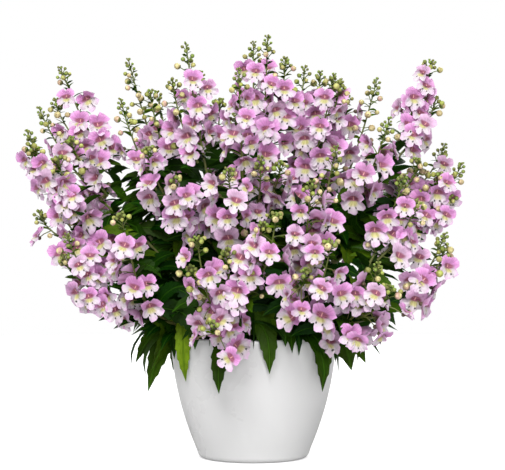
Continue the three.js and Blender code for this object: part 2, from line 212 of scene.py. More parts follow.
class StageSettings(bpy.types.PropertyGroup):
    """The camera and the light."""

    distance: FloatProperty(
        name="Distance", description="Camera's distance from the pot's axis", unit="LENGTH", default=1.7
    )
    height: FloatProperty(name="Height", description="Camera's height", unit="LENGTH", default=0.215)
    aim: FloatProperty(
        name="Aim", description="Height of the middle of the view at the pot", unit="LENGTH", default=0.189
    )
    lens: FloatProperty(name="Lens", description="Focal length in millimetres", default=142.6)
    ambient: FloatProperty(name="Ambient", description="Strength of the light from all round", default=0.2)


class AngeloniaSettings(bpy.types.PropertyGroup):
    """All settings of the potted angelonia."""

    pot: PointerProperty(type=PotSettings)
    flower: PointerProperty(type=FlowerSettings)
    leaf: PointerProperty(type=LeafSettings)
    stage: PointerProperty(type=StageSettings)


# Small helpers for places and directions


def unit(vector):
    return vector / np.linalg.norm(vector)


def lerp(a, b, share):
    return a + (b - a) * share


def clamp(value, low=0.0, high=1.0):
    return max(low, min(high, value))


def half_up(value):
    return math.floor(value + 0.5)


def off_axis(point):
    """A point's distance from the pot's axis."""
    return math.hypot(point[0], point[1])


def outward_of(point):
    return unit(np.array([point[0], point[1], 0.0]))


def pot_radius(z):
    return POT_BASE_RADIUS + POT_FLARE * (1 - (1 - z / POT_HEIGHT) ** POT_CURVE)


def draws_from(seed):
    """The generator that the solids use, so that a shoot's draws come out as they do there."""
    modulus = 2147483647
    state = (seed * 7919) % modulus
    while True:
        state = (state * 16807) % modulus
        yield state / modulus


# Shoots: the lines that the solids' stems and spikes follow


class Line:
    """A smooth line from four control points, read by its share of the length."""

    SAMPLES = 200
    STEP = 0.004

    def __init__(self, *controls):
        a, b, c, d = (np.asarray(point, float) for point in controls)
        t = np.linspace(0, 1, self.SAMPLES + 1)[:, None]
        self.points = (1 - t) ** 3 * a + 3 * (1 - t) ** 2 * t * b + 3 * (1 - t) * t**2 * c + t**3 * d
        runs = np.linalg.norm(np.diff(self.points, axis=0), axis=1)
        self.travelled = np.concatenate([[0.0], np.cumsum(runs)])
        self.length = self.travelled[-1]

    def point(self, share):
        distance = share * self.length
        return np.array([np.interp(distance, self.travelled, self.points[:, axis]) for axis in range(3)])

    def tangent(self, share):
        ahead = self.point(min(share + self.STEP, 1))
        behind = self.point(max(share - self.STEP, 0))
        return unit(ahead - behind)

    def spots(self, start, end, steps):
        """Points at even steps from one share to another."""
        return [self.point(start + (end - start) * i / steps) for i in range(steps + 1)]


def spike_direction(tip):
    lean = SPIKE_LEAN * off_axis(tip) / LEAN_REACH
    return unit(UP + outward_of(tip) * lean)


def line_of(start, heading, tip):
    span = np.linalg.norm(tip - start)
    lowness = clamp((LOW_TIP - tip[2]) / LOW_TIP_RANGE)
    rising = lerp(RISING_SHARE, LOW_RISING_SHARE, lowness) * span
    return Line(start, start + heading * LEAVING_SHARE * span, tip - spike_direction(tip) * rising, tip)


def stem_line(tip):
    start = np.array([tip[0] * BASE_SPREAD, tip[1] * BASE_SPREAD, SOIL_TOP + SOIL_CROWN])
    reach = off_axis(tip - start)
    lean = min(STEM_LEAN_LIMIT, LEAN_PER_REACH * reach / (tip[2] - start[2]))
    return line_of(start, unit(UP + outward_of(tip) * lean), tip)


def branch_line(parent, at, tip):
    start = parent.point(at)
    aside = unit(tip - start)
    return line_of(start, unit(lerp(parent.tangent(at), aside, BRANCH_ASIDE)), tip)


# A line whose level part is shorter than this stands upright, and its rings are set to the X axis.
UPRIGHT = 0.05


def ring_axes(tangent):
    """Two directions square to a line: one is level, and the other lies in the line's upright plane."""
    across = np.cross(UP, tangent)
    if np.linalg.norm(across) < UPRIGHT:
        across = np.array([1.0, 0.0, 0.0])
    across = unit(across)
    return across, np.cross(tangent, across)


def place_at(point, along, turn):
    """A place on a line: its point, the line's direction, and the direction out of it at a turn round it."""
    across, upward = ring_axes(along)
    return point, along, across * math.cos(turn) + upward * math.sin(turn)


def place_on(line, share, turn):
    return place_at(line.point(share), line.tangent(share), turn)


def make_shoots():
    """Every shoot: its line, its spike's length, the share of the line below the spike, and its draws."""
    shoots = []
    for stem, spikes in enumerate(STEMS):
        tips = [np.array(spike[:3], float) for spike in spikes]
        main = stem_line(tips[0])
        branches = [branch_line(main, BRANCHES_AT[i], tip) for i, tip in enumerate(tips[1:])]
        for order, line in enumerate([main, *branches]):
            spike = spikes[order][3]
            draws = draws_from(len(shoots) + 1)
            shoot = {
                "stem": stem,
                "main": order == 0,
                "line": line,
                "spike": spike,
                "foot": 1 - spike / line.length,
                "turn": FIRST_TURN + TURN_SPREAD * (next(draws) - 0.5),
                "draws": draws,
            }
            shoots.append(shoot)
    return shoots


SHOOTS = make_shoots()

# How strongly leaves and flowers turn to the light in front and outwards, and at the back outwards alone.
FRONT_PULL = 0.6
OUTWARD_PULL = 0.35
BACK_PULL = 0.7
BACK_FROM = 50
BACK_RANGE = 60


def towards_light(tip):
    """How leaves and flowers of a shoot turn besides outwards: to the light in front, or away at the back."""
    outward = outward_of(tip)
    in_front = FRONT_PULL * FRONT + OUTWARD_PULL * (off_axis(tip) / LEAN_REACH) * outward
    return lerp(in_front, BACK_PULL * outward, clamp((tip[1] - BACK_FROM) / BACK_RANGE))


# Modelling: selecting, reading shapes once modelled, and gathering their copies into one piece


def start_modelling():
    if bpy.context.object and bpy.context.object.mode != "OBJECT":
        bpy.ops.object.mode_set(mode="OBJECT")
    bpy.ops.object.select_all(action="DESELECT")


def select_rings(obj, rings, ring_size):
    """Selects whole rings of a shape that was extruded ring by ring."""
    bpy.ops.mesh.select_all(action="DESELECT")
    bpy.ops.object.mode_set(mode="OBJECT")
    for vertex in obj.data.vertices:
        vertex.select = vertex.index // ring_size in rings
    bpy.ops.object.mode_set(mode="EDIT")


def extrude_ring(scale, rise):
    """Extrudes the selected ring, scales the new one about the axis and moves it along it."""
    bpy.ops.mesh.extrude_edges_move()
    bpy.ops.transform.resize(value=(scale, scale, 1), center_override=(0, 0, 0))
    bpy.ops.transform.translate(value=(0, 0, rise))


def edit_all():
    bpy.ops.object.mode_set(mode="EDIT")
    bpy.ops.mesh.select_all(action="SELECT")


def outside_out():
    bpy.ops.mesh.select_all(action="SELECT")
    bpy.ops.mesh.normals_make_consistent(inside=False)
    bpy.ops.object.mode_set(mode="OBJECT")


def read_shape(obj, uv_of):
    """Takes a modelled object apart into points, faces and UVs for copying, and removes it."""
    mesh = obj.data
    points = np.array([vertex.co for vertex in mesh.vertices], float)
    faces = [tuple(polygon.vertices) for polygon in mesh.polygons]
    uvs = [uv_of(points[index], polygon) for polygon in mesh.polygons for index in polygon.vertices]
    bpy.data.objects.remove(obj)
    return {"points": points, "faces": faces, "uvs": np.array(uvs)}


# Edges sharper than this are shaded as edges, such as a petal's rim.
SHARP_ANGLE = math.radians(80)


class Gathering:
    """Copies of modelled shapes, joined into the mesh of one piece."""

    def __init__(self):
        self.points = []
        self.faces = []
        self.uvs = []
        self.slots = []
        self.tints = []
        self.count = 0

    def add(self, shape, points, tint, slot):
        self.points.append(points)
        self.faces += [tuple(index + self.count for index in face) for face in shape["faces"]]
        self.uvs.append(shape["uvs"])
        self.slots += [slot] * len(shape["faces"])
        self.tints.append(np.full(len(points), tint))
        self.count += len(points)

    def piece(self, name, materials):
        mesh = bpy.data.meshes.new(name)
        mesh.from_pydata(np.concatenate(self.points) * MM, [], self.faces)
        layer = mesh.uv_layers.new(name="pattern")
        layer.data.foreach_set("uv", np.concatenate(self.uvs).astype(np.float32).ravel())
        tint = mesh.attributes.new("tint", "FLOAT", "POINT")
        tint.data.foreach_set("value", np.concatenate(self.tints).astype(np.float32))
        for material in materials:
            mesh.materials.append(material)
        mesh.polygons.foreach_set("material_index", self.slots)
        mesh.shade_smooth()
        mesh.set_sharp_from_angle(angle=SHARP_ANGLE)
        mesh.update()
        made = bpy.data.objects.new(name, mesh)
        bpy.context.scene.collection.objects.link(made)
        return made


def ring_tube(points, radii, sides):
    """A closed tube through points, with a flat end at each."""
    points = np.asarray(points, float)
    tangents = np.gradient(points, axis=0)
    corners = []
    for point, tangent, radius in zip(points, tangents, radii):
        across, upward = ring_axes(unit(tangent))
        for i in range(sides):
            angle = 2 * math.pi * i / sides
            corners.append(point + (across * math.cos(angle) + upward * math.sin(angle)) * radius)
    faces = []
    for ring in range(len(points) - 1):
        for i in range(sides):
            j = (i + 1) % sides
            low, high = ring * sides, (ring + 1) * sides
            faces.append((low + i, low + j, high + j, high + i))
    faces.append(tuple(reversed(range(sides))))
    faces.append(tuple(range((len(points) - 1) * sides, len(points) * sides)))
    corner_count = sum(len(face) for face in faces)
    return {"faces": faces, "uvs": np.zeros((corner_count, 2))}, np.array(corners)


# The pattern of an underside stands this far beside that of the upper face, for petals and leaves alike.
UNDERSIDE_AT = 2.0

# Flower: half of its rim, from the notch at the top round to the middle of the lip: an upper lobe, a side
# lobe and half of the lowest one. Each corner is its degrees from the top, its share of the radius and how
# far it stands forward in millimetres.
RIM_CORNERS = [
    (0, 0.78, 0.4),
    (13, 0.99, 0.0),
    (33, 1.09, -0.8),
    (54, 1.06, -0.8),
    (73, 0.98, -0.2),
    (87, 0.70, 0.5),
    (97, 0.93, 0.0),
    (112, 1.05, -0.8),
    (128, 1.05, -0.6),
    (141, 0.95, 0.0),
    (149, 0.66, 0.8),
    (157, 0.93, 0.4),
    (169, 1.04, 0.0),
    (180, 1.05, 0.1),
]
RIM_COUNT = 2 * (len(RIM_CORNERS) - 1)
# The rings inside the rim, each a share of the radius and a depth: half way in and the throat in front, and
# the foot of the petals behind. The lobes fade out over the first of them.
MID_RING = (0.52, -0.2)
THROAT_RING = (0.25, -2.2)
BACK_RING = (0.32, -3.0)
MID_TRACE = 0.5
THROAT_RAISED = 0.12
RUFFLE = 1.5
FRAY = 0.11
# The width of the flower's pattern, in radii
PATTERN_SPAN = 2.4


def model_flower(radius, cupping, random):
    """A thin flower that faces +Z with its hood towards +Y: petals all round an open throat."""
    start_modelling()
    bpy.ops.mesh.primitive_circle_add(vertices=RIM_COUNT, radius=radius, fill_type="NOTHING")
    flower = bpy.context.object
    edit_all()
    extrude_ring(MID_RING[0], MID_RING[1])
    extrude_ring(THROAT_RING[0] / MID_RING[0], THROAT_RING[1] - MID_RING[1])
    bpy.ops.mesh.edge_face_add()
    select_rings(flower, {0}, RIM_COUNT)
    extrude_ring(*BACK_RING)
    bpy.ops.mesh.edge_face_add()
    bpy.ops.object.mode_set(mode="OBJECT")
    shape_lobes(flower.data.vertices, radius, cupping, random)
    edit_all()
    bpy.ops.mesh.remove_doubles(threshold=0.01)
    outside_out()

    def uv_of(point, polygon):
        aside = UNDERSIDE_AT if polygon.normal.z < 0 else 0.0
        span = PATTERN_SPAN * radius
        return (0.5 + point[0] / span + aside, 0.5 + point[1] / span)

    return read_shape(flower, uv_of)


def shape_lobes(vertices, radius, cupping, random):
    """Moves the rings' corners: full lobes, notches and ruffles at the rim, traces of them half way in.

    The two inner rings have their corners brought together two by two, to be merged.
    """
    ruffles = [random.uniform(-RUFFLE, RUFFLE) for _ in range(RIM_COUNT)]
    frays = [random.uniform(1 - FRAY, 1 + FRAY) for _ in range(RIM_COUNT)]
    for vertex in vertices:
        ring, step = divmod(vertex.index, RIM_COUNT)
        if ring >= 2:
            step -= step % 2
        degrees, share, forward = RIM_CORNERS[min(step, RIM_COUNT - step)]
        angle = math.radians(degrees if step <= RIM_COUNT // 2 else -degrees)
        trace = (1.0, MID_TRACE, 0.0, 0.0)[ring]
        distance = math.hypot(vertex.co.x, vertex.co.y) * lerp(1.0, share * frays[step], trace)
        depth = vertex.co.z + (forward + ruffles[step] + cupping * share) * trace
        raised = THROAT_RAISED * radius if ring > 0 else 0.0
        vertex.co = Vector((distance * math.sin(angle), distance * math.cos(angle) + raised, depth))


BULB_NARROWING = 0.22


def model_bulb(radius, length, segments, rings):
    """A closed bulb along +Z, blunt at its foot and narrower at its tip."""
    start_modelling()
    bpy.ops.mesh.primitive_uv_sphere_add(segments=segments, ring_count=rings, radius=radius)
    bulb = bpy.context.object
    for vertex in bulb.data.vertices:
        x, y, z = vertex.co
        narrowing = 1 - BULB_NARROWING * max(0.0, z / radius) ** 2
        vertex.co = Vector((x * narrowing, y * narrowing, z * length / (2 * radius)))

    def uv_of(point, polygon):
        return (0.5 + math.atan2(point[1], point[0]) / (2 * math.pi), point[2] / length + 0.5)

    return read_shape(bulb, uv_of)


# Leaf: its half width at shares of its length, with five forward-pointing teeth on each side.
LEAF_STATIONS = [
    (0.00, 0.09),
    (0.06, 0.14),
    (0.16, 0.54),
    (0.29, 0.92),
    (0.32, 0.81),
    (0.43, 1.03),
    (0.46, 0.88),
    (0.57, 0.98),
    (0.60, 0.80),
    (0.70, 0.80),
    (0.73, 0.61),
    (0.82, 0.54),
    (0.85, 0.37),
    (1.00, 0.01),
]
BRACT_STATIONS = [(0.0, 0.2), (0.2, 0.8), (0.5, 1.0), (0.8, 0.6), (1.0, 0.02)]
LEAF_FOLD = 0.22
LEAF_RIB = 0.06


def model_blade(stations):
    """A blade along +Y with an underside, one long and one in half width, folded up from its midrib.

    Its points hold the share of the half width, the share of the length and the height in half widths.
    """
    start_modelling()
    bpy.ops.mesh.primitive_grid_add(x_subdivisions=2, y_subdivisions=len(stations) - 1, size=2)
    blade = bpy.context.object
    columns = 3
    for vertex in blade.data.vertices:
        row, column = divmod(vertex.index, columns)
        share, width = stations[row]
        side = column - 1
        vertex.co = Vector((side * width, share, LEAF_FOLD * abs(side) * width))
    edit_all()
    bpy.ops.mesh.duplicate()
    bpy.ops.mesh.flip_normals()
    bpy.ops.object.mode_set(mode="OBJECT")
    half = len(blade.data.vertices) // 2
    for vertex in blade.data.vertices:
        row, column = divmod(vertex.index % half, columns)
        if column == 1 and 0 < row < len(stations) - 1:
            vertex.co.z += LEAF_RIB if vertex.index < half else -LEAF_RIB
    edit_all()
    bpy.ops.mesh.remove_doubles(threshold=0.001)
    outside_out()

    def uv_of(point, polygon):
        aside = UNDERSIDE_AT if polygon.normal.z < 0 else 0.0
        return (0.5 + 0.5 * point[0] + aside, point[1])

    return read_shape(blade, uv_of)


def bent_blade(shape, spots, half_width, roll, twist):
    """The blade's points laid along a midline, rolled about it at its foot and twisted on towards its tip.

    The blade lies square to the upright plane through the midline's ends.
    """
    shares = np.linspace(0, 1, len(spots))
    tangents = np.gradient(spots, axis=0)
    aside, _ = ring_axes(unit(spots[-1] - spots[0]))
    points = []
    for across, share, height in shape["points"]:
        spot = np.array([np.interp(share, shares, spots[:, axis]) for axis in range(3)])
        tangent = unit(np.array([np.interp(share, shares, tangents[:, axis]) for axis in range(3)]))
        upward = unit(np.cross(tangent, aside))
        level = np.cross(upward, tangent)
        angle = roll + twist * share
        side = -level * math.cos(angle) - upward * math.sin(angle)
        normal = upward * math.cos(angle) - level * math.sin(angle)
        points.append(spot + side * across * half_width + normal * height * half_width)
    return np.array(points)


MIDLINE_SPOTS = 9


def arch(point, level, length, rise, droop):
    """A leaf's midline, which starts with its rise above the level and bends down at an even rate."""
    shares = np.linspace(0, 1, MIDLINE_SPOTS)[:, None]
    bend = droop / length
    angle = rise - droop * shares
    outward = (math.sin(rise) - np.sin(angle)) / bend
    upward = (np.cos(angle) - math.cos(rise)) / bend
    return point + level * outward + UP * upward


# How far leaves keep from the pot and the soil
POT_CLEARANCE = 2.5


def clears_pot(spots):
    """Whether a midline stays above the soil, passes over the rim and hangs outside the wall."""
    for spot in spots:
        z = spot[2]
        wall = pot_radius(clamp(z, 0, POT_HEIGHT))
        distance = off_axis(spot)
        if z > POT_HEIGHT + POT_CLEARANCE or distance > wall + POT_CLEARANCE:
            continue
        if distance > wall - POT_WALL - POT_CLEARANCE or z < SOIL_TOP + SOIL_CROWN + POT_CLEARANCE:
            return False
    return True


# Node groups and materials

# Nodes lie in rows of this many, each this wide and high in the node editor.
NODES_IN_ROW = 12
NODE_WIDTH = 190
NODE_HEIGHT = 220


def feed(tree, socket, value):
    if isinstance(value, bpy.types.NodeSocket):
        tree.links.new(value, socket)
    else:
        socket.default_value = value


def add_node(tree, kind, inputs=None, **settings):
    made = tree.nodes.new(kind)
    row, column = divmod(len(tree.nodes), NODES_IN_ROW)
    made.location = (NODE_WIDTH * column, -NODE_HEIGHT * row)
    for name, value in settings.items():
        setattr(made, name, value)
    for name, value in (inputs or {}).items():
        feed(tree, made.inputs[name], value)
    return made


def maths(tree, operation, a, b=0.0):
    return add_node(tree, "ShaderNodeMath", {0: a, 1: b}, operation=operation).outputs[0]


def times(tree, a, b):
    return maths(tree, "MULTIPLY", a, b)


def less(tree, a, b):
    return maths(tree, "SUBTRACT", a, b)


def length_of(tree, flat):
    return add_node(tree, "ShaderNodeVectorMath", {0: flat}, operation="LENGTH").outputs["Value"]


def combined(tree, x, y):
    return add_node(tree, "ShaderNodeCombineXYZ", {0: x, 1: y}).outputs[0]


def eased(tree, value, low, high):
    """A smooth step from 0 at the low value to 1 at the high one, which may be the smaller number."""
    inputs = {"Value": value, "From Min": low, "From Max": high}
    return add_node(tree, "ShaderNodeMapRange", inputs, interpolation_type="SMOOTHSTEP").outputs[0]


def blended(tree, share, a, b):
    return add_node(tree, "ShaderNodeMix", {0: share, 6: a, 7: b}, data_type="RGBA").outputs[2]


def shaded(tree, share, colour, factor):
    """The colour made darker by a factor, as far as the share says."""
    inputs = {0: 1.0, 6: colour, 7: (factor, factor, factor, 1)}
    darker = add_node(tree, "ShaderNodeMix", inputs, data_type="RGBA", blend_type="MULTIPLY")
    return blended(tree, share, colour, darker.outputs[2])


def opaque(colour):
    return (*colour, 1.0)


def ramp(tree, value, stops):
    """A colour that runs through stops, each a position and a colour, as the value grows."""
    made = add_node(tree, "ShaderNodeValToRGB", {0: value})
    elements = made.color_ramp.elements
    elements[1].position, elements[1].color = stops[-1]
    elements[0].position, elements[0].color = stops[0]
    for position, colour in stops[1:-1]:
        elements.new(position).color = colour
    return made.outputs[0]


def new_group(name, inputs, outputs):
    """An empty node group with float sockets; one named Vector is a vector socket."""
    group = bpy.data.node_groups.new(name, "ShaderNodeTree")
    for direction, names in (("INPUT", inputs), ("OUTPUT", outputs)):
        for socket in names:
            kind = "NodeSocketVector" if socket == "Vector" else "NodeSocketFloat"
            group.interface.new_socket(name=socket, in_out=direction, socket_type=kind)
    source = group.nodes.new("NodeGroupInput")
    return group, source.outputs, group.nodes.new("NodeGroupOutput").inputs


# The mottle's grain is this much finer than its patches, and its shade rises from 0 to 1 between two totals.
GRAIN_FINENESS = 6.0
SHADE_RANGE = (0.35, 0.95)


def mottle_group():
    """Soft patches with finer grain in them: a shade from 0 to 1 and a height for a bump."""
    group, source, result = new_group("Mottle", ["Vector", "Scale", "Grain"], ["Shade", "Height"])
    place, scale = source["Vector"], source["Scale"]
    finer = times(group, scale, GRAIN_FINENESS)
    patches = add_node(group, "ShaderNodeTexNoise", {"Vector": place, "Scale": scale, "Detail": 3.0})
    grain = add_node(group, "ShaderNodeTexNoise", {"Vector": place, "Scale": finer, "Detail": 2.0})
    total = maths(group, "ADD", patches.outputs[0], times(group, grain.outputs[0], source["Grain"]))
    feed(group, result["Shade"], eased(group, total, *SHADE_RANGE))
    feed(group, result["Height"], total)


def oval_group():
    """A soft oval on a flat pattern: 1 inside and 0 outside."""
    inputs = ["Vector", "Centre X", "Centre Y", "Half Width", "Half Height", "Softness"]
    group, source, result = new_group("Oval", inputs, ["Mask"])
    split = add_node(group, "ShaderNodeSeparateXYZ", {0: source["Vector"]})
    squares = []
    for axis, centre, half in ((0, "Centre X", "Half Width"), (1, "Centre Y", "Half Height")):
        away = less(group, split.outputs[axis], source[centre])
        share = maths(group, "DIVIDE", away, source[half])
        squares.append(times(group, share, share))
    distance = maths(group, "SQRT", maths(group, "ADD", *squares))
    inner = less(group, 1.0, source["Softness"])
    outer = maths(group, "ADD", 1.0, source["Softness"])
    feed(group, result["Mask"], less(group, 1.0, eased(group, distance, inner, outer)))


def use_group(tree, name, inputs):
    made = add_node(tree, "ShaderNodeGroup", node_tree=bpy.data.node_groups[name])
    for socket, value in inputs.items():
        feed(tree, made.inputs[socket], value)
    return made.outputs


def new_material(name, **plain):
    """A material's nodes and its Principled shader, whose even values are set on its own sockets."""
    material = bpy.data.materials.new(name)
    material.use_nodes = True
    shader = material.node_tree.nodes["Principled BSDF"]
    for socket, value in plain.items():
        shader.inputs[socket.replace("_", " ").title().replace("Ior", "IOR")].default_value = value
    return material.node_tree, shader


def finish_material(tree, shader, colour, height, relief):
    """Gives the shader its colour and a bump as deep as the relief, in metres."""
    feed(tree, shader.inputs["Base Color"], colour)
    bump = add_node(tree, "ShaderNodeBump", {"Height": height, "Distance": relief})
    feed(tree, shader.inputs["Normal"], bump.outputs["Normal"])


def object_place(tree):
    return add_node(tree, "ShaderNodeTexCoord").outputs["Object"]


def mottled(tree, scale, grain):
    """The mottle over a whole piece, with the scale of its patches and the strength of its grain."""
    return use_group(tree, "Mottle", {"Vector": object_place(tree), "Scale": scale, "Grain": grain})


def pattern_place(tree):
    """The two coordinates of the piece's own pattern."""
    uv = add_node(tree, "ShaderNodeUVMap", uv_map="pattern").outputs[0]
    split = add_node(tree, "ShaderNodeSeparateXYZ", {0: uv}).outputs
    return split[0], split[1]


def tint_of(tree):
    return add_node(tree, "ShaderNodeAttribute", attribute_name="tint").outputs["Fac"]


# The flower's pattern has its places in shares of the radius from the flower's middle. Each oval is its
# centre, half width, half height and softness.
POUCH_OVAL = (0.0, -0.2, 0.34, 0.22, 0.5)
# Painted shade round the throat, where the petals run into the tube.
THROAT_PAINTED_SHADE_OVAL = (0.0, 0.2, 0.62, 0.55, 0.4)
THROAT_OVAL = (0.0, 0.15, 0.48, 0.24, 0.3)
TONGUE_OVAL = (0.0, 0.16, 0.04, 0.16, 0.5)
SPOT_OVALS = [(-0.24, -0.52, 0.06, 0.09, 0.35), (0.24, -0.52, 0.06, 0.09, 0.35)]
# The edges of its other parts, each from where it begins to where it is full: the hood, the paler rim, which
# is partly the petal's own paler edge and partly a painted highlight, the lip from above and from its sides,
# the lip's rim, and on the back the middle and the foot.
HOOD_EDGE = (-0.25, 0.3)
PALE_RIM_AND_HIGHLIGHT_EDGE = (0.7, 1.05)
LIP_TOP_EDGE = (0.05, -0.4)
LIP_SIDE_EDGE = (1.05, 0.55)
LIP_RIM_EDGE = (-0.55, -1.05)
BACK_EDGE = (1.0, 0.55)
FOOT_EDGE = (0.5, 0.25)
POUCH_VEINS = (0.58, 0.56, 0.17, 1)
THROAT_GROUND = (0.34, 0.10, 0.17, 1)
TONGUE = (0.72, 0.34, 0.33, 1)
SPOT = (0.03, 0.03, 0.02, 1)
PETAL_BACK = (0.60, 0.26, 0.50, 1)
# The dark foot of the back is partly the tube's own deeper colour and partly painted shade of the throat seen
# through the petal.
PETAL_FOOT_AND_THROAT_SHADE = (0.16, 0.035, 0.06, 1)
# Vein streaks fan out from just above the middle.
FAN_CENTRE = 0.1
FAN_FINENESS = 3.5
STREAK_RANGE = (0.42, 0.62)


def vein_streaks(tree, aside, upward, tint):
    """Fine streaks that fan out from the throat, alike on both sides of the flower."""
    around = maths(tree, "ARCTAN2", aside, less(tree, upward, FAN_CENTRE))
    fan = combined(tree, times(tree, around, FAN_FINENESS), tint)
    streaks = add_node(tree, "ShaderNodeTexNoise", {"Vector": fan, "Scale": 2.0, "Detail": 1.0})
    return eased(tree, streaks.outputs[0], *STREAK_RANGE)


def petal_front(tree, flower, across, upward, shade):
    """The face of a flower: pink hood, pale lip, rosy throat, yellow pouch and two spots."""
    face = combined(tree, across, upward)
    aside = maths(tree, "ABSOLUTE", across)
    tint = tint_of(tree)
    veins = vein_streaks(tree, aside, upward, tint)

    def inside(oval):
        sizes = dict(zip(("Centre X", "Centre Y", "Half Width", "Half Height", "Softness"), oval))
        return use_group(tree, "Oval", {"Vector": face, **sizes})["Mask"]

    colour = blended(tree, eased(tree, upward, *HOOD_EDGE), opaque(flower.side), opaque(flower.hood))
    # The paler band at the rim is partly the petal's own paler edge and partly a painted highlight.
    rim = times(tree, eased(tree, length_of(tree, face), *PALE_RIM_AND_HIGHLIGHT_EDGE), 0.5)
    colour = blended(tree, rim, colour, opaque(flower.side))
    lowness = less(tree, upward, times(tree, shade, 0.35))
    lip = times(tree, eased(tree, lowness, *LIP_TOP_EDGE), eased(tree, aside, *LIP_SIDE_EDGE))
    colour = blended(tree, lip, colour, opaque(flower.lip))
    lip_rim = times(tree, eased(tree, upward, *LIP_RIM_EDGE), 0.7)
    colour = blended(tree, lip_rim, colour, opaque(flower.side))
    faded = times(tree, eased(tree, tint, 0.5, 1.0), 0.5)
    colour = blended(tree, faded, colour, opaque(flower.lip))
    # Streaks darken all the petals: partly real veins, partly painted shade of ruffles.
    colour = shaded(tree, times(tree, veins, 0.6), colour, 0.74)
    pouch = blended(tree, veins, opaque(flower.pouch), POUCH_VEINS)
    colour = blended(tree, inside(POUCH_OVAL), colour, pouch)
    # Painted shade darkens the petals round the throat.
    colour = shaded(tree, inside(THROAT_PAINTED_SHADE_OVAL), colour, 0.75)
    throat = blended(tree, veins, THROAT_GROUND, opaque(flower.throat))
    colour = blended(tree, inside(THROAT_OVAL), colour, throat)
    colour = blended(tree, inside(TONGUE_OVAL), colour, TONGUE)
    for oval in SPOT_OVALS:
        colour = blended(tree, inside(oval), colour, SPOT)
    return colour


def petal_back(tree, flower, across, upward):
    """The back of a flower: pale at the rim, deeper towards the middle and dark at the foot."""
    away = length_of(tree, combined(tree, less(tree, across, UNDERSIDE_AT * PATTERN_SPAN), upward))
    colour = blended(tree, eased(tree, away, *BACK_EDGE), opaque(flower.side), PETAL_BACK)
    # Dark at the foot: partly the tube's own colour, partly painted shade of the throat seen through the
    # petal.
    return blended(tree, eased(tree, away, *FOOT_EDGE), colour, PETAL_FOOT_AND_THROAT_SHADE)


def petal_material(flower):
    """Petals: the flower's pattern on its face and on its back, with soft patches over both, partly uneven
    tone and partly painted shade of crinkles.
    """
    tree, shader = new_material("petal", roughness=0.62, sheen_weight=0.15)
    right, up = pattern_place(tree)
    across = times(tree, less(tree, right, 0.5), PATTERN_SPAN)
    upward = times(tree, less(tree, up, 0.5), PATTERN_SPAN)
    mottle = mottled(tree, 340.0, 0.35)
    front = petal_front(tree, flower, across, upward, mottle["Shade"])
    colour = blended(tree, eased(tree, right, 1.4, 1.5), front, petal_back(tree, flower, across, upward))
    # The soft patches darken the petals: partly uneven tone, partly painted shade of crinkles.
    colour = shaded(tree, times(tree, mottle["Shade"], 0.4), colour, 0.72)
    finish_material(tree, shader, colour, mottle["Height"], 0.0009)


STALK_GREEN = (0.13, 0.21, 0.03, 1)
STALK_RED = (0.07, 0.02, 0.025, 1)
STALK_PATCHES = (0.09, 0.04, 0.02, 1)


def stalk_material(leaf):
    """Stems, stalks and calyxes: olive green with reddish and dark patches."""
    tree, shader = new_material("stalk", roughness=0.5)
    mottle = mottled(tree, 60.0, 0.4)
    colour = ramp(tree, tint_of(tree), [(0.0, opaque(leaf.stem)), (0.5, STALK_GREEN), (1.0, STALK_RED)])
    colour = blended(tree, times(tree, mottle["Shade"], 0.5), colour, STALK_PATCHES)
    finish_material(tree, shader, colour, mottle["Height"], 0.0004)


# A bud's skin by its ripeness, then its tip, its opening at the very top, its calyx and its blotches. The
# edges are shares of its height.
TIP_EDGE = (0.68, 0.82)
OPENING_EDGE = (0.95, 0.98)
CALYX_EDGE = (0.34, 0.2)
BUD_SKIN = [
    (0.0, (0.21, 0.31, 0.045, 1)),
    (0.35, (0.44, 0.51, 0.10, 1)),
    (0.65, (0.70, 0.65, 0.27, 1)),
    (1.0, (0.82, 0.52, 0.44, 1)),
]
BUD_TIP = (0.82, 0.74, 0.36, 1)
BUD_OPENING = (0.22, 0.06, 0.07, 1)
BUD_CALYX = (0.12, 0.18, 0.03, 1)
BUD_BLOTCHES = (0.16, 0.07, 0.04, 1)


def bud_material():
    """Buds: green through yellow to peach as they ripen, open at the tip, with a green calyx at the foot."""
    tree, shader = new_material("bud", roughness=0.5)
    height = pattern_place(tree)[1]
    ripeness = tint_of(tree)
    mottle = mottled(tree, 300.0, 0.4)
    ripe = eased(tree, ripeness, 0.5, 0.8)
    tip = times(tree, eased(tree, height, *TIP_EDGE), ripe)
    opening = times(tree, eased(tree, height, *OPENING_EDGE), ripe)
    blotches = times(tree, eased(tree, mottle["Shade"], 0.35, 0.8), 0.5)
    colour = blended(tree, tip, ramp(tree, ripeness, BUD_SKIN), BUD_TIP)
    colour = blended(tree, opening, colour, BUD_OPENING)
    colour = blended(tree, eased(tree, height, *CALYX_EDGE), colour, BUD_CALYX)
    colour = blended(tree, blotches, colour, BUD_BLOTCHES)
    finish_material(tree, shader, colour, mottle["Height"], 0.0003)


LEAF_VEINS = (0.05, 0.16, 0.006, 1)
LEAF_UNDERSIDE = (0.02, 0.075, 0.006, 1)
# The midrib's edge in half widths. Side veins slant forward from it and are ripples along the blade.
MIDRIB_EDGE = (0.055, 0.02)
VEIN_SLANT = 0.42
VEIN_RIPPLES = 30.0
VEIN_EDGE = (0.16, 0.0)


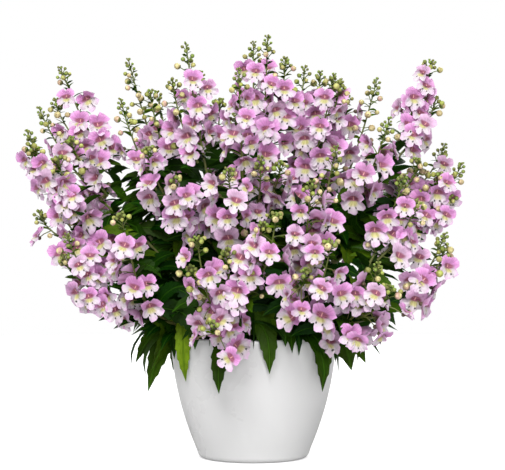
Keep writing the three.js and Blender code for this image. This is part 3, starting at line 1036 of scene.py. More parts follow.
def leaf_material(leaf):
    """Leaves: dark green with a pale midrib and side veins, duller and paler below."""
    tree, shader = new_material("leaf", specular_ior_level=0.06)
    right, up = pattern_place(tree)
    underside = eased(tree, right, 1.2, 1.3)
    above_aside = maths(tree, "ABSOLUTE", less(tree, right, 0.5))
    under_aside = maths(tree, "ABSOLUTE", less(tree, right, 0.5 + UNDERSIDE_AT))
    aside = maths(tree, "MINIMUM", above_aside, under_aside)
    slanted = less(tree, up, times(tree, aside, VEIN_SLANT))
    ripple = maths(tree, "ABSOLUTE", maths(tree, "SINE", times(tree, slanted, VEIN_RIPPLES)))
    midrib = eased(tree, aside, *MIDRIB_EDGE)
    side_veins = times(tree, eased(tree, ripple, *VEIN_EDGE), 0.35)
    veins = maths(tree, "MAXIMUM", midrib, side_veins)
    mottle = mottled(tree, 45.0, 0.35)
    colour = blended(tree, tint_of(tree), opaque(leaf.green), opaque(leaf.young))
    colour = shaded(tree, mottle["Shade"], colour, 0.5)
    colour = blended(tree, times(tree, veins, 0.35), colour, LEAF_VEINS)
    colour = blended(tree, times(tree, underside, 0.5), colour, LEAF_UNDERSIDE)
    feed(tree, shader.inputs["Roughness"], maths(tree, "ADD", times(tree, underside, 0.2), 0.46))
    height = less(tree, times(tree, mottle["Height"], 0.4), veins)
    finish_material(tree, shader, colour, height, 0.0006)


def pot_material(pot):
    """Glossy white: faint unevenness of the surface and a little dust in soft patches."""
    tree, shader = new_material("pot_glaze", coat_weight=0.25, coat_roughness=0.12)
    mottle = mottled(tree, 14.0, 0.2)
    colour = shaded(tree, times(tree, mottle["Shade"], 0.35), opaque(pot.glaze), 0.93)
    rough = maths(tree, "ADD", times(tree, mottle["Shade"], 0.08), pot.gloss)
    feed(tree, shader.inputs["Roughness"], rough)
    finish_material(tree, shader, colour, mottle["Height"], 0.0002)


SOIL_FIBRES = (0.12, 0.08, 0.045, 1)


def soil_material(pot):
    """Damp soil: dark crumbs with paler fibres."""
    tree, shader = new_material("soil", roughness=0.9)
    mottle = mottled(tree, 90.0, 0.7)
    cells = add_node(tree, "ShaderNodeTexVoronoi", {"Vector": object_place(tree), "Scale": 420.0})
    fibres = eased(tree, cells.outputs["Distance"], 0.18, 0.02)
    colour = shaded(tree, mottle["Shade"], opaque(pot.soil), 0.45)
    colour = blended(tree, fibres, colour, SOIL_FIBRES)
    finish_material(tree, shader, colour, mottle["Height"], 0.002)


def make_materials(settings):
    """Every group and material, made once and then found by name."""
    if "Mottle" in bpy.data.node_groups:
        return
    mottle_group()
    oval_group()
    petal_material(settings.flower)
    stalk_material(settings.leaf)
    bud_material()
    leaf_material(settings.leaf)
    pot_material(settings.pot)
    soil_material(settings.pot)


def finish_piece(piece, slot, *nodes):
    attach(piece, "root")
    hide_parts(*nodes)


def require(objects, what):
    if not objects:
        raise RuntimeError("Nothing was made for " + what)
    return {"FINISHED"}


# Pot and soil

TURNED_SIDES = 96
FOOT_ROUND = 6
RIM_ROUND = 1.4
INNER_ROUND = 5
INNER_WALL_FOOT = POT_FLOOR + INNER_ROUND + 1
# The underside is hollowed out a little inside the ring that the pot stands on.
UNDERSIDE = [(14, 0.9), (28, 0.9), (30, 0.0)]
INNER_FLOOR_RADIUS = 20
SOIL_GAP = 0.4
SOIL_FOOT_RADIUS = 36
CRUMB_HEIGHT = 1.6
# The soil's crumbs: the scale of each layer per metre, and its share of the height
CRUMBS = [(160, 1.0), (420, 0.6)]


def turned_piece(name, profile):
    """A turned solid: a ring extruded along its profile of (radius, height), closed at both ends."""
    start_modelling()
    radius, height = profile[0]
    bpy.ops.mesh.primitive_circle_add(vertices=TURNED_SIDES, radius=radius * MM, fill_type="NGON")
    piece = bpy.context.object
    edit_all()
    bpy.ops.transform.translate(value=(0, 0, height * MM))
    bpy.ops.mesh.select_mode(type="VERT")
    select_rings(piece, {0}, TURNED_SIDES)
    for next_radius, next_height in profile[1:]:
        extrude_ring(next_radius / radius, (next_height - height) * MM)
        radius, height = next_radius, next_height
    bpy.ops.mesh.edge_face_add()
    outside_out()
    piece.name = name
    piece.data.name = name
    return piece


def arc(centre, radius, start, end, steps):
    """Points on an arc of a profile, with angles in degrees from the outward level."""
    angles = [math.radians(lerp(start, end, i / steps)) for i in range(steps + 1)]
    return [(centre[0] + radius * math.cos(a), centre[1] + radius * math.sin(a)) for a in angles]


def pot_profile():
    """From the middle of the underside round the foot, up the wall, over the rim and down the inside."""
    foot = arc((pot_radius(FOOT_ROUND) - FOOT_ROUND, FOOT_ROUND), FOOT_ROUND, -90, -12, 6)
    outer = [(pot_radius(z), z) for z in np.linspace(FOOT_ROUND + 2, POT_HEIGHT - RIM_ROUND, 18)]
    rim_centre = (pot_radius(POT_HEIGHT) - RIM_ROUND, POT_HEIGHT - RIM_ROUND)
    rim = arc(rim_centre, RIM_ROUND, 20, 160, 7)
    inner = [(pot_radius(z) - POT_WALL, z) for z in np.linspace(POT_HEIGHT - 3, INNER_WALL_FOOT, 12)]
    low = POT_FLOOR + INNER_ROUND
    floor = arc((pot_radius(low) - POT_WALL - INNER_ROUND, low), INNER_ROUND, -15, -90, 4)
    return [*UNDERSIDE, *foot, *outer, *rim, *inner, *floor, (INNER_FLOOR_RADIUS, POT_FLOOR)]


def soil_profile():
    """From the pot's floor up the inside of its wall and in over the crowned top."""
    heights = np.linspace(INNER_WALL_FOOT, SOIL_TOP - 1, 10)
    wall = [(pot_radius(z) - POT_WALL - SOIL_GAP, z) for z in heights]
    edge = wall[-1][0] - 1
    top = [(edge * share, SOIL_TOP + SOIL_CROWN * (1 - share)) for share in np.linspace(1, 0.04, 26)]
    return [(SOIL_FOOT_RADIUS, POT_FLOOR + SOIL_GAP), *wall, *top]


class ANGELONIA_OT_make_pot(bpy.types.Operator):
    """Make the white pot with its rounded foot and rim"""

    bl_idname = "angelonia.make_pot"
    bl_label = "Pot"

    def execute(self, context):
        make_materials(context.scene.angelonia)
        pot = turned_piece("white_pot", pot_profile())
        pot.data.materials.append(bpy.data.materials["pot_glaze"])
        pot.data.shade_smooth()
        finish_piece(pot, "pot_white", "pot")
        return require([pot], "the pot")


class ANGELONIA_OT_make_soil(bpy.types.Operator):
    """Make the soil, with a crumbled top"""

    bl_idname = "angelonia.make_soil"
    bl_label = "Soil"

    def execute(self, context):
        make_materials(context.scene.angelonia)
        soil = turned_piece("soil_bed", soil_profile())
        for vertex in soil.data.vertices:
            if vertex.co.z > (SOIL_TOP - 0.5) * MM:
                crumbs = sum(share * noise.noise(vertex.co * scale) for scale, share in CRUMBS)
                vertex.co.z += CRUMB_HEIGHT * MM * crumbs
        soil.data.materials.append(bpy.data.materials["soil"])
        soil.data.shade_smooth()
        finish_piece(soil, "soil_brown", "soil")
        return require([soil], "the soil")


# Leafy stems

STEM_SEED = 100
ROD_SLOT = 0
BLADE_SLOT = 1
# As in the solids: share of the bare stem, turn round it, size and bend of each stem's three large leaves.
LARGE_LEAVES = [(0.0, 0.0, 1.08, 1.9), (0.35, 1.6, 1.0, 1.2), (0.7, -1.5, 0.85, 1.1)]
LARGE_LEAF_LENGTH = 58
LOWEST_LEAF = 24
TURN_FOLLOWED = 0.8
DRAWS_PER_FLOWER = 3
# The draws' ranges of a large leaf's size, rise and bend, each the lowest value and what a draw adds to it.
SIZE_DRAWS = (0.9, 0.2)
RISE_DRAWS = (0.25, 0.3)
BEND_DRAWS = (0.85, 0.3)
# Where a large leaf was set aside in the solids, it is found again by trying these swings and tilts.
SWINGS = [0, 0.5, -0.5, 1, -1, 1.5, -1.5, 2.2, -2.2, 2.8]
TILTS = [0, 0.35, -0.35]
FOUND_WITHIN = 2.5
# Half a leaf's width as a share of its length
LEAF_SLIMNESS = 0.155
LARGE_LEAF_SLIMNESS = 0.12
RIM_LEAF_SLIMNESS = 0.105
ROLL_STRENGTH = 1.1
MOST_ROLL = 1.3
LARGE_LEAF_PLAY = 0.3
LARGE_LEAF_TINT = 0.2
# The round stems
ROD_STEPS = 14
ROD_SIDES = 8
MAIN_ROD_RADIUS = 2.0
BRANCH_ROD_RADIUS = 1.6
ROD_TOP_RADIUS = 1.15
ROD_TINT = 0.7
# Pairs of leaves: where the first stands, and how far their turns, sizes, rises, droops, rolls and twists
# vary. Few of them are young.
FIRST_PAIR = 5
FIRST_BRANCH_PAIR = 12
PAIR_TURN_PLAY = 0.35
TOP_PAIR_SIZE = 0.72
PAIR_SIZES = (0.8, 1.12)
PAIR_RISES = (0.3, 1.1)
PAIR_DROOPS = (0.8, 2.0)
PAIR_ROLL_PLAY = 0.5
PAIR_TWIST_PLAY = 0.4
YOUNGEST_TINT = 0.4
YOUNG_RARITY = 4
# A leaf that would pass through the pot is raised by the first of these that clears it, or left out.
RAISED_BY = (0, 0.3, 0.6, 0.9)


def solid_points(node):
    return np.array([vertex.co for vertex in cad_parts[node].data.vertices], float) / MM


def stem_runs(shoot):
    """The straight runs of a main stem's solid, from its foot in the soil to the spike."""
    line = shoot["line"]
    end = shoot["foot"] - STEM_GAP / 2 / line.length
    steps = max(2, half_up(end * line.length / STEM_STEP))
    spots = line.spots(0, end, steps)
    return np.array([spots[0] - line.tangent(0) * STEM_BURIED, *spots])


def place_on_runs(runs, distance, turn):
    lengths = np.linalg.norm(np.diff(runs, axis=0), axis=1)
    ends = np.cumsum(lengths)
    index = min(int(np.searchsorted(ends, distance)), len(lengths) - 1)
    along = unit(runs[index + 1] - runs[index])
    return place_at(runs[index] + along * (distance - ends[index] + lengths[index]), along, turn)


def level_from(along, out):
    """The level direction of a leaf that leaves its stem in a direction out of it."""
    side = unit(np.cross(along, out))
    level = unit(np.cross(side, UP))
    return level if level @ out > 0 else -level


def large_leaves(shoot, node):
    """The midlines of the solid's own large leaves, each found by the tip that it has in the solid."""
    points = solid_points(node)
    runs = stem_runs(shoot)
    bare = shoot["foot"] * shoot["line"].length
    flowering = shoot["spike"] * FLOWERING_SHARE
    flowers = half_up(flowering / SOLID_FLOWER_SPACING)
    buds = half_up((shoot["spike"] - flowering) / SOLID_BUD_SPACING) - 1
    draws = shoot["draws"]
    for _ in range(DRAWS_PER_FLOWER * flowers + buds):
        next(draws)
    found = []
    for share, around, size, bend in LARGE_LEAVES:
        distance = STEM_BURIED + LOWEST_LEAF + (bare - LOWEST_LEAF) * share
        drawn = [lowest + added * next(draws) for lowest, added in (SIZE_DRAWS, RISE_DRAWS, BEND_DRAWS)]
        length = LARGE_LEAF_LENGTH * size * drawn[0]
        rise = drawn[1]
        droop = bend * drawn[2]
        turn = OUTWARD + around + TURN_FOLLOWED * (shoot["turn"] - OUTWARD)
        for swing, tilt in ((swing, tilt) for swing in SWINGS for tilt in TILTS):
            point, along, out = place_on_runs(runs, distance, turn + swing)
            midline = arch(point, level_from(along, out), length, rise + tilt, droop)
            if np.linalg.norm(points - midline[-1], axis=1).min() < FOUND_WITHIN:
                found.append((midline, length))
                break
    return found


def add_leaf(gathering, shape, midline, length, turns, tint, slimness=LEAF_SLIMNESS, slot=BLADE_SLOT):
    """Adds a leaf along a midline. Its turns are its roll at the foot and its twist towards the tip."""
    gathering.add(shape, bent_blade(shape, midline, slimness * length, *turns), tint, slot)


def roll_to(lure, level):
    """The roll that turns a leaf's upper face to the light, more so where the leaf points aside from it."""
    return -ROLL_STRENGTH * (np.cross(UP, level) @ unit(lure))


def full_roll_to(lure, level):
    """The roll that turns a hanging leaf's upper face as far to the light as a leaf can twist."""
    return -clamp(math.atan2(np.cross(UP, level) @ lure, level @ lure), -MOST_ROLL, MOST_ROLL)


def add_stem_rod(gathering, shoot):
    """The round stem of a shoot up to its spike; a main stem starts down in the soil."""
    line = shoot["line"]
    spots = line.spots(0, shoot["foot"], ROD_STEPS)
    foot_radius = BRANCH_ROD_RADIUS
    if shoot["main"]:
        spots = [spots[0] - line.tangent(0) * STEM_BURIED, *spots]
        foot_radius = MAIN_ROD_RADIUS
    radii = [lerp(foot_radius, ROD_TOP_RADIUS, i / (len(spots) - 1)) for i in range(len(spots))]
    shape, points = ring_tube(spots, radii, ROD_SIDES)
    gathering.add(shape, points, ROD_TINT, ROD_SLOT)


def add_leaf_pairs(gathering, shape, shoot, leaf, random):
    """Pairs of leaves up a shoot, each pair crosswise to the last, smaller towards the spike."""
    line = shoot["line"]
    lure = towards_light(line.point(1))
    bare = shoot["foot"] * line.length
    spacing = leaf.spacing / MM
    first = FIRST_PAIR if shoot["main"] else FIRST_BRANCH_PAIR
    pairs = int((bare - first) / spacing)
    for pair in range(pairs + 1):
        share = (first + pair * spacing) / line.length
        height = pair / max(1, pairs)
        for side in (0, math.pi):
            play = random.uniform(-PAIR_TURN_PLAY, PAIR_TURN_PLAY)
            turn = shoot["turn"] + pair * math.pi / 2 + side + play
            point, along, out = place_on(line, share, turn)
            length = lerp(1, TOP_PAIR_SIZE, height) * leaf.length / MM * random.uniform(*PAIR_SIZES)
            rise = random.uniform(*PAIR_RISES)
            droop = random.uniform(*PAIR_DROOPS)
            level = level_from(along, out)
            tint = YOUNGEST_TINT * random.random() ** YOUNG_RARITY
            roll = roll_to(lure, level) + random.uniform(-PAIR_ROLL_PLAY, PAIR_ROLL_PLAY)
            turns = (roll, random.uniform(-PAIR_TWIST_PLAY, PAIR_TWIST_PLAY))
            for raised in RAISED_BY:
                midline = arch(point, level, length, rise + raised, droop)
                if clears_pot(midline):
                    add_leaf(gathering, shape, midline, length, turns, tint)
                    break


# Leaves that hang over the rim or out between the spikes. Each is the place of its tip, its share of young
# green and its width.
RIM_LEAVES = [
    (-88, -33, 59, 0.15, 1.1),
    (-85, -40, 77, 0.25, 1.7),
    (-99, -24, 82, 0.15, 1.2),
    (-103, -26, 105, 0.20, 1.2),
    (-117, -30, 111, 0.20, 1.1),
    (-129, -36, 118, 0.10, 1.1),
    (-56, -44, 68, 0.95, 1.0),
    (-66, -34, 86, 0.05, 1.4),
    (-48, -62, 96, 0.05, 1.5),
    (-36, -70, 99, 0.10, 1.6),
    (-24, -74, 96, 0.05, 1.5),
    (-12, -77, 99, 0.00, 1.6),
    (0, -77, 97, 0.05, 1.5),
    (13, -75, 77, 0.15, 1.2),
    (26, -72, 99, 0.05, 1.6),
    (37, -66, 91, 0.00, 0.8),
    (48, -60, 97, 0.05, 1.4),
    (57, -47, 60, 0.20, 1.0),
    (68, -42, 84, 0.10, 1.6),
    (82, -27, 76, 0.20, 1.9),
    (94, -24, 82, 0.25, 1.7),
    (107, -30, 88, 0.05, 1.4),
    (120, -36, 110, 0.15, 0.9),
    (112, -62, 150, 0.05, 1.1),
    (126, -52, 160, 0.10, 1.1),
    (118, -24, 178, 0.05, 1.1),
    (136, -30, 168, 0.10, 1.0),
    (146, -20, 190, 0.05, 1.1),
    (150, 8, 174, 0.05, 1.1),
    (130, -8, 156, 0.05, 1.1),
    (104, -30, 160, 0.05, 1.2),
    (-150, -14, 172, 0.05, 1.1),
    (-158, 8, 186, 0.05, 1.0),
    (-122, -10, 128, 0.10, 1.1),
    (-112, -46, 122, 0.05, 1.1),
    (-106, -12, 204, 0.05, 1.1),
    (-118, 8, 214, 0.10, 1.1),
    (-98, 20, 198, 0.05, 1.0),
    (-104, 6, 236, 0.05, 1.3),
    (-110, 14, 230, 0.05, 1.5),
    (-112, -4, 224, 0.10, 1.3),
    (-92, -8, 214, 0.05, 1.3),
    (-88, 6, 203, 0.05, 1.5),
    (-118, -2, 205, 0.10, 1.4),
    (-58, 52, 244, 0.05, 1.3),
    (-84, 40, 240, 0.05, 1.3),
    (-70, 40, 70, 0.15, 1.0),
    (-34, 68, 76, 0.20, 1.0),
    (6, 78, 66, 0.10, 1.1),
    (44, 66, 80, 0.30, 0.9),
    (74, 36, 68, 0.10, 1.0),
    (90, 4, 84, 0.15, 0.9),
    (-90, 8, 80, 0.20, 0.9),
]
# Such a leaf starts at the place on a bare stem that costs least: about a leaf's length from the tip, on its
# side of the plant and above it.
RIM_LEAF_REACH = 52
OTHER_SIDE_COST = 45
LOW_START_COST = 0.6
START_ABOVE_TIP = 28
STEM_PLACES = 24
# Two control points draw its midline. Each is how far it stands out from the pot's rim and how high above the
# rim and above the tip. The outer one stands at least at this share of the tip's distance from the axis.
INNER_CONTROL = (-4, 24, 16)
OUTER_CONTROL = (9, 10, 12)
OUTER_SHARE = 0.85
RIM_LEAF_TWIST = 0.3


def nearest_stem_place(tip):
    """A place on a bare stem for a leaf that ends at the tip, and the stem's number."""
    best = None
    for shoot in SHOOTS:
        for share in np.linspace(0.02, shoot["foot"], STEM_PLACES):
            point = shoot["line"].point(share)
            away = np.linalg.norm(point - tip)
            same_side = outward_of(point) @ outward_of(tip)
            lowness = max(0.0, tip[2] + START_ABOVE_TIP - point[2])
            cost = abs(away - RIM_LEAF_REACH) + OTHER_SIDE_COST * (1 - same_side) + LOW_START_COST * lowness
            if best is None or cost < best[0]:
                best = (cost, point, shoot["stem"])
    return best[1], best[2]


def add_rim_leaf(gathering, shape, point, tip, tint, width):
    """A leaf that arches over the rim from its stem and hangs to its tip."""
    out = outward_of(tip)
    rim = pot_radius(POT_HEIGHT)
    beyond, over_rim, over_tip = INNER_CONTROL
    inside = out * (rim + beyond) + UP * max(POT_HEIGHT + over_rim, tip[2] + over_tip)
    beyond, over_rim, over_tip = OUTER_CONTROL
    reach = max(rim + beyond, OUTER_SHARE * off_axis(tip))
    outside = out * reach + UP * max(POT_HEIGHT + over_rim, tip[2] + over_tip)
    line = Line(point, inside, outside, tip)
    midline = np.array(line.spots(0, 1, MIDLINE_SPOTS - 1))
    roll = full_roll_to(towards_light(tip), outward_of(tip - point))
    turns = (roll, RIM_LEAF_TWIST * math.sin(tip[0]))
    add_leaf(gathering, shape, midline, line.length, turns, tint, width * RIM_LEAF_SLIMNESS)


class ANGELONIA_OT_make_leafy_stems(bpy.types.Operator):
    """Make the stems with their leaves, one piece for each solid stem"""

    bl_idname = "angelonia.make_leafy_stems"
    bl_label = "Leafy stems"

    def execute(self, context):
        settings = context.scene.angelonia
        make_materials(settings)
        materials = [bpy.data.materials["stalk"], bpy.data.materials["leaf"]]
        shape = model_blade(LEAF_STATIONS)
        gatherings = [Gathering() for _ in STEMS]
        for index, shoot in enumerate(SHOOTS):
            gathering = gatherings[shoot["stem"]]
            random = Random(STEM_SEED + index)
            add_stem_rod(gathering, shoot)
            if shoot["main"]:
                node = "leafy_stem_%02d" % (shoot["stem"] + 1)
                for midline, length in large_leaves(shoot, node):
                    turns = [random.uniform(-LARGE_LEAF_PLAY, LARGE_LEAF_PLAY) for _ in range(2)]
                    tint = LARGE_LEAF_TINT * random.random()
                    add_leaf(gathering, shape, midline, length, turns, tint, LARGE_LEAF_SLIMNESS)
            add_leaf_pairs(gathering, shape, shoot, settings.leaf, random)
        for x, y, z, tint, width in RIM_LEAVES:
            tip = np.array([x, y, z], float)
            point, stem = nearest_stem_place(tip)
            add_rim_leaf(gatherings[stem], shape, point, tip, tint, width)
        made = []
        for index, gathering in enumerate(gatherings):
            piece = gathering.piece("leafy_shoots_%02d" % (index + 1), materials)
            finish_piece(piece, "leaf_green", "leafy_stem_%02d" % (index + 1))
            made.append(piece)
        return require(made, "the leafy stems")


# Flower spikes

SPIKE_SEED = 499
STALK_SLOT = 0
PETAL_SLOT = 1
BUD_SLOT = 2
LEAF_SLOT = 3
# How far forward the rim of each kind of flower stands, from wide open to half open.
FLOWER_CUPPINGS = [-0.8, -0.2, 0.4, 1.0, 2.0, 3.2]
# Radius, length, segments and rings of the bulbs. A bud's are for a radius of 1.
CALYX_BULB = (1.9, 4.4, 6, 4)
BUD_BULB = (1.0, 2.1, 8, 6)
# A flower looks outwards and nearly level, and is lured by the light and a little astray.
FACE_LEVELLED = [1, 1, 0.35]
FACE_LURE = 0.75
FACE_ASTRAY = 0.75
TOP_ASTRAY = 0.6
# Calyxes, stalks and buds
CALYX_BEHIND = 1.3
CALYX_TINT = 0.9
FLOWER_STALK_DROP = 5.5
FLOWER_STALK_TINT = 0.35
STALK_RADII = [0.5, 0.4, 0.45]
STALK_SIDES = 5
STALK_BOW_AT = 0.55
STALK_BOW = 0.06
BUD_STALK_DROP = 1.5
BUD_STALK_TINT = 0.5
BUD_MIDDLE = 0.7
BUD_HELD = 0.6
# The small leaves below the stalks. Longer ones grow on the spike's shaded side and get less young green, a
# painted shade.
BRACT_SLIMNESS = 0.18
BRACT_DROP = 6
BRACT_RISES = (0.3, 1.0)
BRACT_DROOPS = (0.4, 1.2)
BRACT_ROLL_PLAY = 0.8
BRACT_TINT = 0.85
BRACT_PALENESS = 1.3
BRACT_PAINTED_SHADE_LENGTH = 25
# A spike's axis
AXIS_STEPS = 16
AXIS_SIDES = 7
AXIS_RADII = (1.2, 0.45)
AXIS_TINT = 0.3
# Its flowers: where the first stands, their sizes from the foot up and how far sizes and turns vary
FIRST_FLOWER = 6
FLOWER_SIZES = (1.05, 0.84)
FLOWER_SIZE_PLAY = (0.88, 1.1)
FLOWER_TURN_PLAY = 0.4
# Ripe buds among the flowers: their share, how close they stand to the axis, their radii and ripeness
HALF_OPEN_SHARE = 0.06
BUD_CLOSENESS = 0.7
REACH_PLAY = (0.62, 1.2)
RIPE_RADII = (2.0, 3.3)
RIPE_RANGE = (0.3, 1)
# How dark the spike's side is square to the light, how fast that changes round the spike, and the share of
# flowers that are missing on the darkest side, where a longer leaf grows.
SIDE_SHADE = 0.5
SHADE_CHANGE = 0.7
MISSING_IN_SHADE = 0.85
BRACT_IN_LIGHT = 9
BRACTS_IN_SHADE = (30, 10)
BRACT_SIZE_PLAY = (0.8, 1.2)
# The buds at the top: how many, how far above the flowers and below the tip, how much closer towards the
# top, and their radii, reaches and ripeness from the lowest to the highest
BUD_COUNT = 12
BUDS_ABOVE = 3
BUDS_BELOW_TIP = 1
BUD_CROWDING = 1.25
BUD_TURN_PLAY = 0.3
BUD_RADII = (2.6, 1.0)
BUD_RADIUS_CURVE = 0.6
BUD_RADIUS_PLAY = (0.8, 1.2)
BUD_REACHES = (8.0, 1.2)
BUD_REACH_CURVE = 0.7
BUD_REACH_PLAY = (0.6, 1.25)
BUD_RIPENESS = 0.85
BUD_RIPENESS_FALL = 2.4
BUD_RIPENESS_PLAY = (-0.4, 0.15)
BUD_UPTURN = 0.75
BUD_BRACTS = (8, 4.5)
# How much further the flowers under a level axis hang below it in front of the pot, from which Y on and over
# which range that grows to the full.
HANGING = 1.1
HANGING_FROM = -70
HANGING_RANGE = 30
# How far a flower's middle keeps from the pot's wall, in its radii
WALL_MARGIN = 0.8
# The share of a spike that flowers, for most spikes and by number for those that flower further up.
BLOOM_SHARE = 0.77
LONG_BLOOMS = {1: 0.84, 8: 0.88, 12: 0.86, 14: 0.86, 15: 0.88, 16: 0.88, 18: 0.8, 21: 0.84, 23: 0.9, 30: 0.86}
# By the spike's number, the share of its flowering length up to which the flowers are open. Ripe buds follow.
YOUNG_SPIKES = {5: 0.5, 6: 0.75, 9: 0.8, 20: 0.8, 22: 0.55, 25: 0.5}
# By the spike's number, the share of its flowering length that carries only leaves at its foot.
BARE_FEET = {
    1: 0.25,
    2: 0.15,
    5: 0.35,
    6: 0.5,
    7: 0.35,
    10: 0.3,
    11: 0.25,
    16: 0.3,
    26: 0.2,
    28: 0.35,
    29: 0.3,
    30: 0.4,
    38: 0.4,
}
# The side branches of the spikes. Each is the spike's number, how far the branch's tip stands to the right of
# the spike and above its usual height, and its open share.
SIDE_SHOOTS = [
    (1, -15, 0, 0.8),
    (2, 15, 0, 0.65),
    (3, 15, 0, 0.65),
    (3, -7, 10, 0.9),
    (4, -20, 6, 0.95),
    (4, 15, 0, 0.65),
    (5, 12, 0, 0.3),
    (7, -15, 0, 0.65),
    (8, 15, 0, 0.8),
    (10, 15, 0, 0.65),
    (13, -10, 3, 0.9),
    (15, 20, 14, 0.9),
    (15, -8, 0, 0.8),
    (15, 8, -44, 1.0),
    (16, -8, 14, 1.0),
    (18, 16, 10, 0.9),
    (19, 16, 16, 0.9),
    (20, 16, 20, 0.9),
    (21, 10, 22, 0.8),
    (23, -16, 0, 0.9),
    (25, -20, 14, 0.95),
    (27, 14, 0, 0.9),
    (28, 15, 0, 0.65),
    (29, 8, 8, 0.65),
    (30, 12, -6, 0.9),
    (31, 2, -6, 1.0),
    (31, -8, 12, 0.8),
    (31, -26, 24, 0.2),
    (32, -15, 0, 0.65),
    (33, 15, 0, 0.65),
    (37, -15, 0, 0.65),
]
# Where a side branch leaves its spike and where its tip usually stands, in shares of the spike, then its
# control points and the share of it that is bare.
SIDE_START = 0.1
SIDE_TIP = 0.76
SIDE_SPREAD = 0.67
SIDE_LIFT = 6
SIDE_RISING = 22
SIDE_BARE = 0.15


def flower_axes(along, out, lure, random):
    """Side, top and face directions of a flower, which looks level outwards and is lured by the light."""
    wander = np.array([random.uniform(-1, 1) for _ in range(3)])
    face = unit(out * FACE_LEVELLED + FACE_LURE * lure + FACE_ASTRAY * wander)
    upright = unit(along + UP + TOP_ASTRAY * wander[::-1])
    side = unit(np.cross(upright, face))
    return side, np.cross(face, side), face


def add_flower(gathering, shapes, place, lure, size, reach, random):
    """A flower with its calyx and the thin stalk that rises to it from lower on the axis."""
    point, along, out = place
    side, top, face = flower_axes(along, out, lure, random)
    centre = point + out * reach
    turned = np.array([side, top, face])
    corolla = shapes["flowers"][random.randrange(len(shapes["flowers"]))]
    gathering.add(corolla, centre + (corolla["points"] * size) @ turned, random.random(), PETAL_SLOT)
    calyx = centre + face * (BACK_RING[1] - CALYX_BEHIND) * size
    gathering.add(shapes["calyx"], calyx + shapes["calyx"]["points"] @ turned, CALYX_TINT, STALK_SLOT)
    tint = FLOWER_STALK_TINT * random.random()
    add_stalk(gathering, point - along * FLOWER_STALK_DROP, calyx, along, tint)


def add_stalk(gathering, foot, end, along, tint):
    """A thin stalk from the spike's axis to a flower or a bud, bowed a little upwards."""
    middle = lerp(foot, end, STALK_BOW_AT) + along * STALK_BOW * np.linalg.norm(end - foot)
    tube, corners = ring_tube([foot, middle, end], STALK_RADII, STALK_SIDES)
    gathering.add(tube, corners, tint, STALK_SLOT)


def add_bud(gathering, shapes, place, heading, radius, reach, ripeness):
    """A bud on a stalk, which turns from its way out of the axis by the heading."""
    point, along, out = place
    stalk = unit(out + heading)
    side = unit(np.cross(stalk, along))
    turned = np.array([side, np.cross(stalk, side), stalk])
    centre = point + stalk * (reach + BUD_MIDDLE * radius)
    gathering.add(shapes["bud"], centre + (shapes["bud"]["points"] * radius) @ turned, ripeness, BUD_SLOT)
    held = centre - stalk * BUD_HELD * radius
    add_stalk(gathering, point - along * BUD_STALK_DROP, held, along, BUD_STALK_TINT)


def add_bract(gathering, shapes, place, length, random):
    """The small narrow leaf below a flower's stalk."""
    point, along, out = place
    rise = random.uniform(*BRACT_RISES)
    droop = random.uniform(*BRACT_DROOPS)
    midline = arch(point - along * BRACT_DROP, level_from(along, out), length, rise, droop)
    turns = (random.uniform(-BRACT_ROLL_PLAY, BRACT_ROLL_PLAY), 0.0)
    # Longer bracts, which grow on the shaded side, get less young green: painted shade.
    tint = BRACT_TINT * random.random() * clamp(BRACT_PALENESS - length / BRACT_PAINTED_SHADE_LENGTH)
    add_leaf(gathering, shapes["bract"], midline, length, turns, tint, BRACT_SLIMNESS, LEAF_SLOT)


def off_the_wall(point, out, reach, radius):
    """Whether a flower would stay clear of the pot's wall."""
    centre = point + out * reach
    if centre[2] > POT_HEIGHT + radius:
        return True
    wall = pot_radius(clamp(centre[2], 0, POT_HEIGHT))
    return off_axis(centre) > wall + WALL_MARGIN * radius


def side_shoot(shoot, aside, raised):
    """A side branch of a spike, which leaves it near its foot and stands up or hangs beside it."""
    line, spike, foot = shoot["line"], shoot["spike"], shoot["foot"]
    offset = np.array([float(aside), 0.0, 0.0])
    start = line.point(foot + SIDE_START * spike / line.length)
    tip = line.point(foot + SIDE_TIP * spike / line.length) + offset + raised * UP
    branch = Line(start, start + SIDE_SPREAD * offset + SIDE_LIFT * UP, tip - SIDE_RISING * UP, tip)
    turn = shoot["turn"] + math.copysign(1, aside)
    return {"line": branch, "spike": (1 - SIDE_BARE) * branch.length, "foot": SIDE_BARE, "turn": turn}


def spike_piece(number, shoot, shapes, flower, materials):
    """A spike and its side branches, each with its bloom.

    A bloom is the share of the spike that flowers, the share of that which is bare at its foot, and the share
    of it up to which the flowers are open.
    """
    random = Random(SPIKE_SEED + number)
    gathering = Gathering()
    bloom_share = LONG_BLOOMS.get(number, BLOOM_SHARE)
    bloom = (bloom_share, BARE_FEET.get(number, 0.0), YOUNG_SPIKES.get(number, 1.0))
    add_raceme(gathering, shapes, shoot, flower, bloom, random)
    for owner, aside, raised, open_share in SIDE_SHOOTS:
        if owner == number:
            branch = side_shoot(shoot, aside, raised)
            add_raceme(gathering, shapes, branch, flower, (BLOOM_SHARE, 0.0, open_share), random)
    return gathering.piece("flower_raceme_%02d" % number, materials)


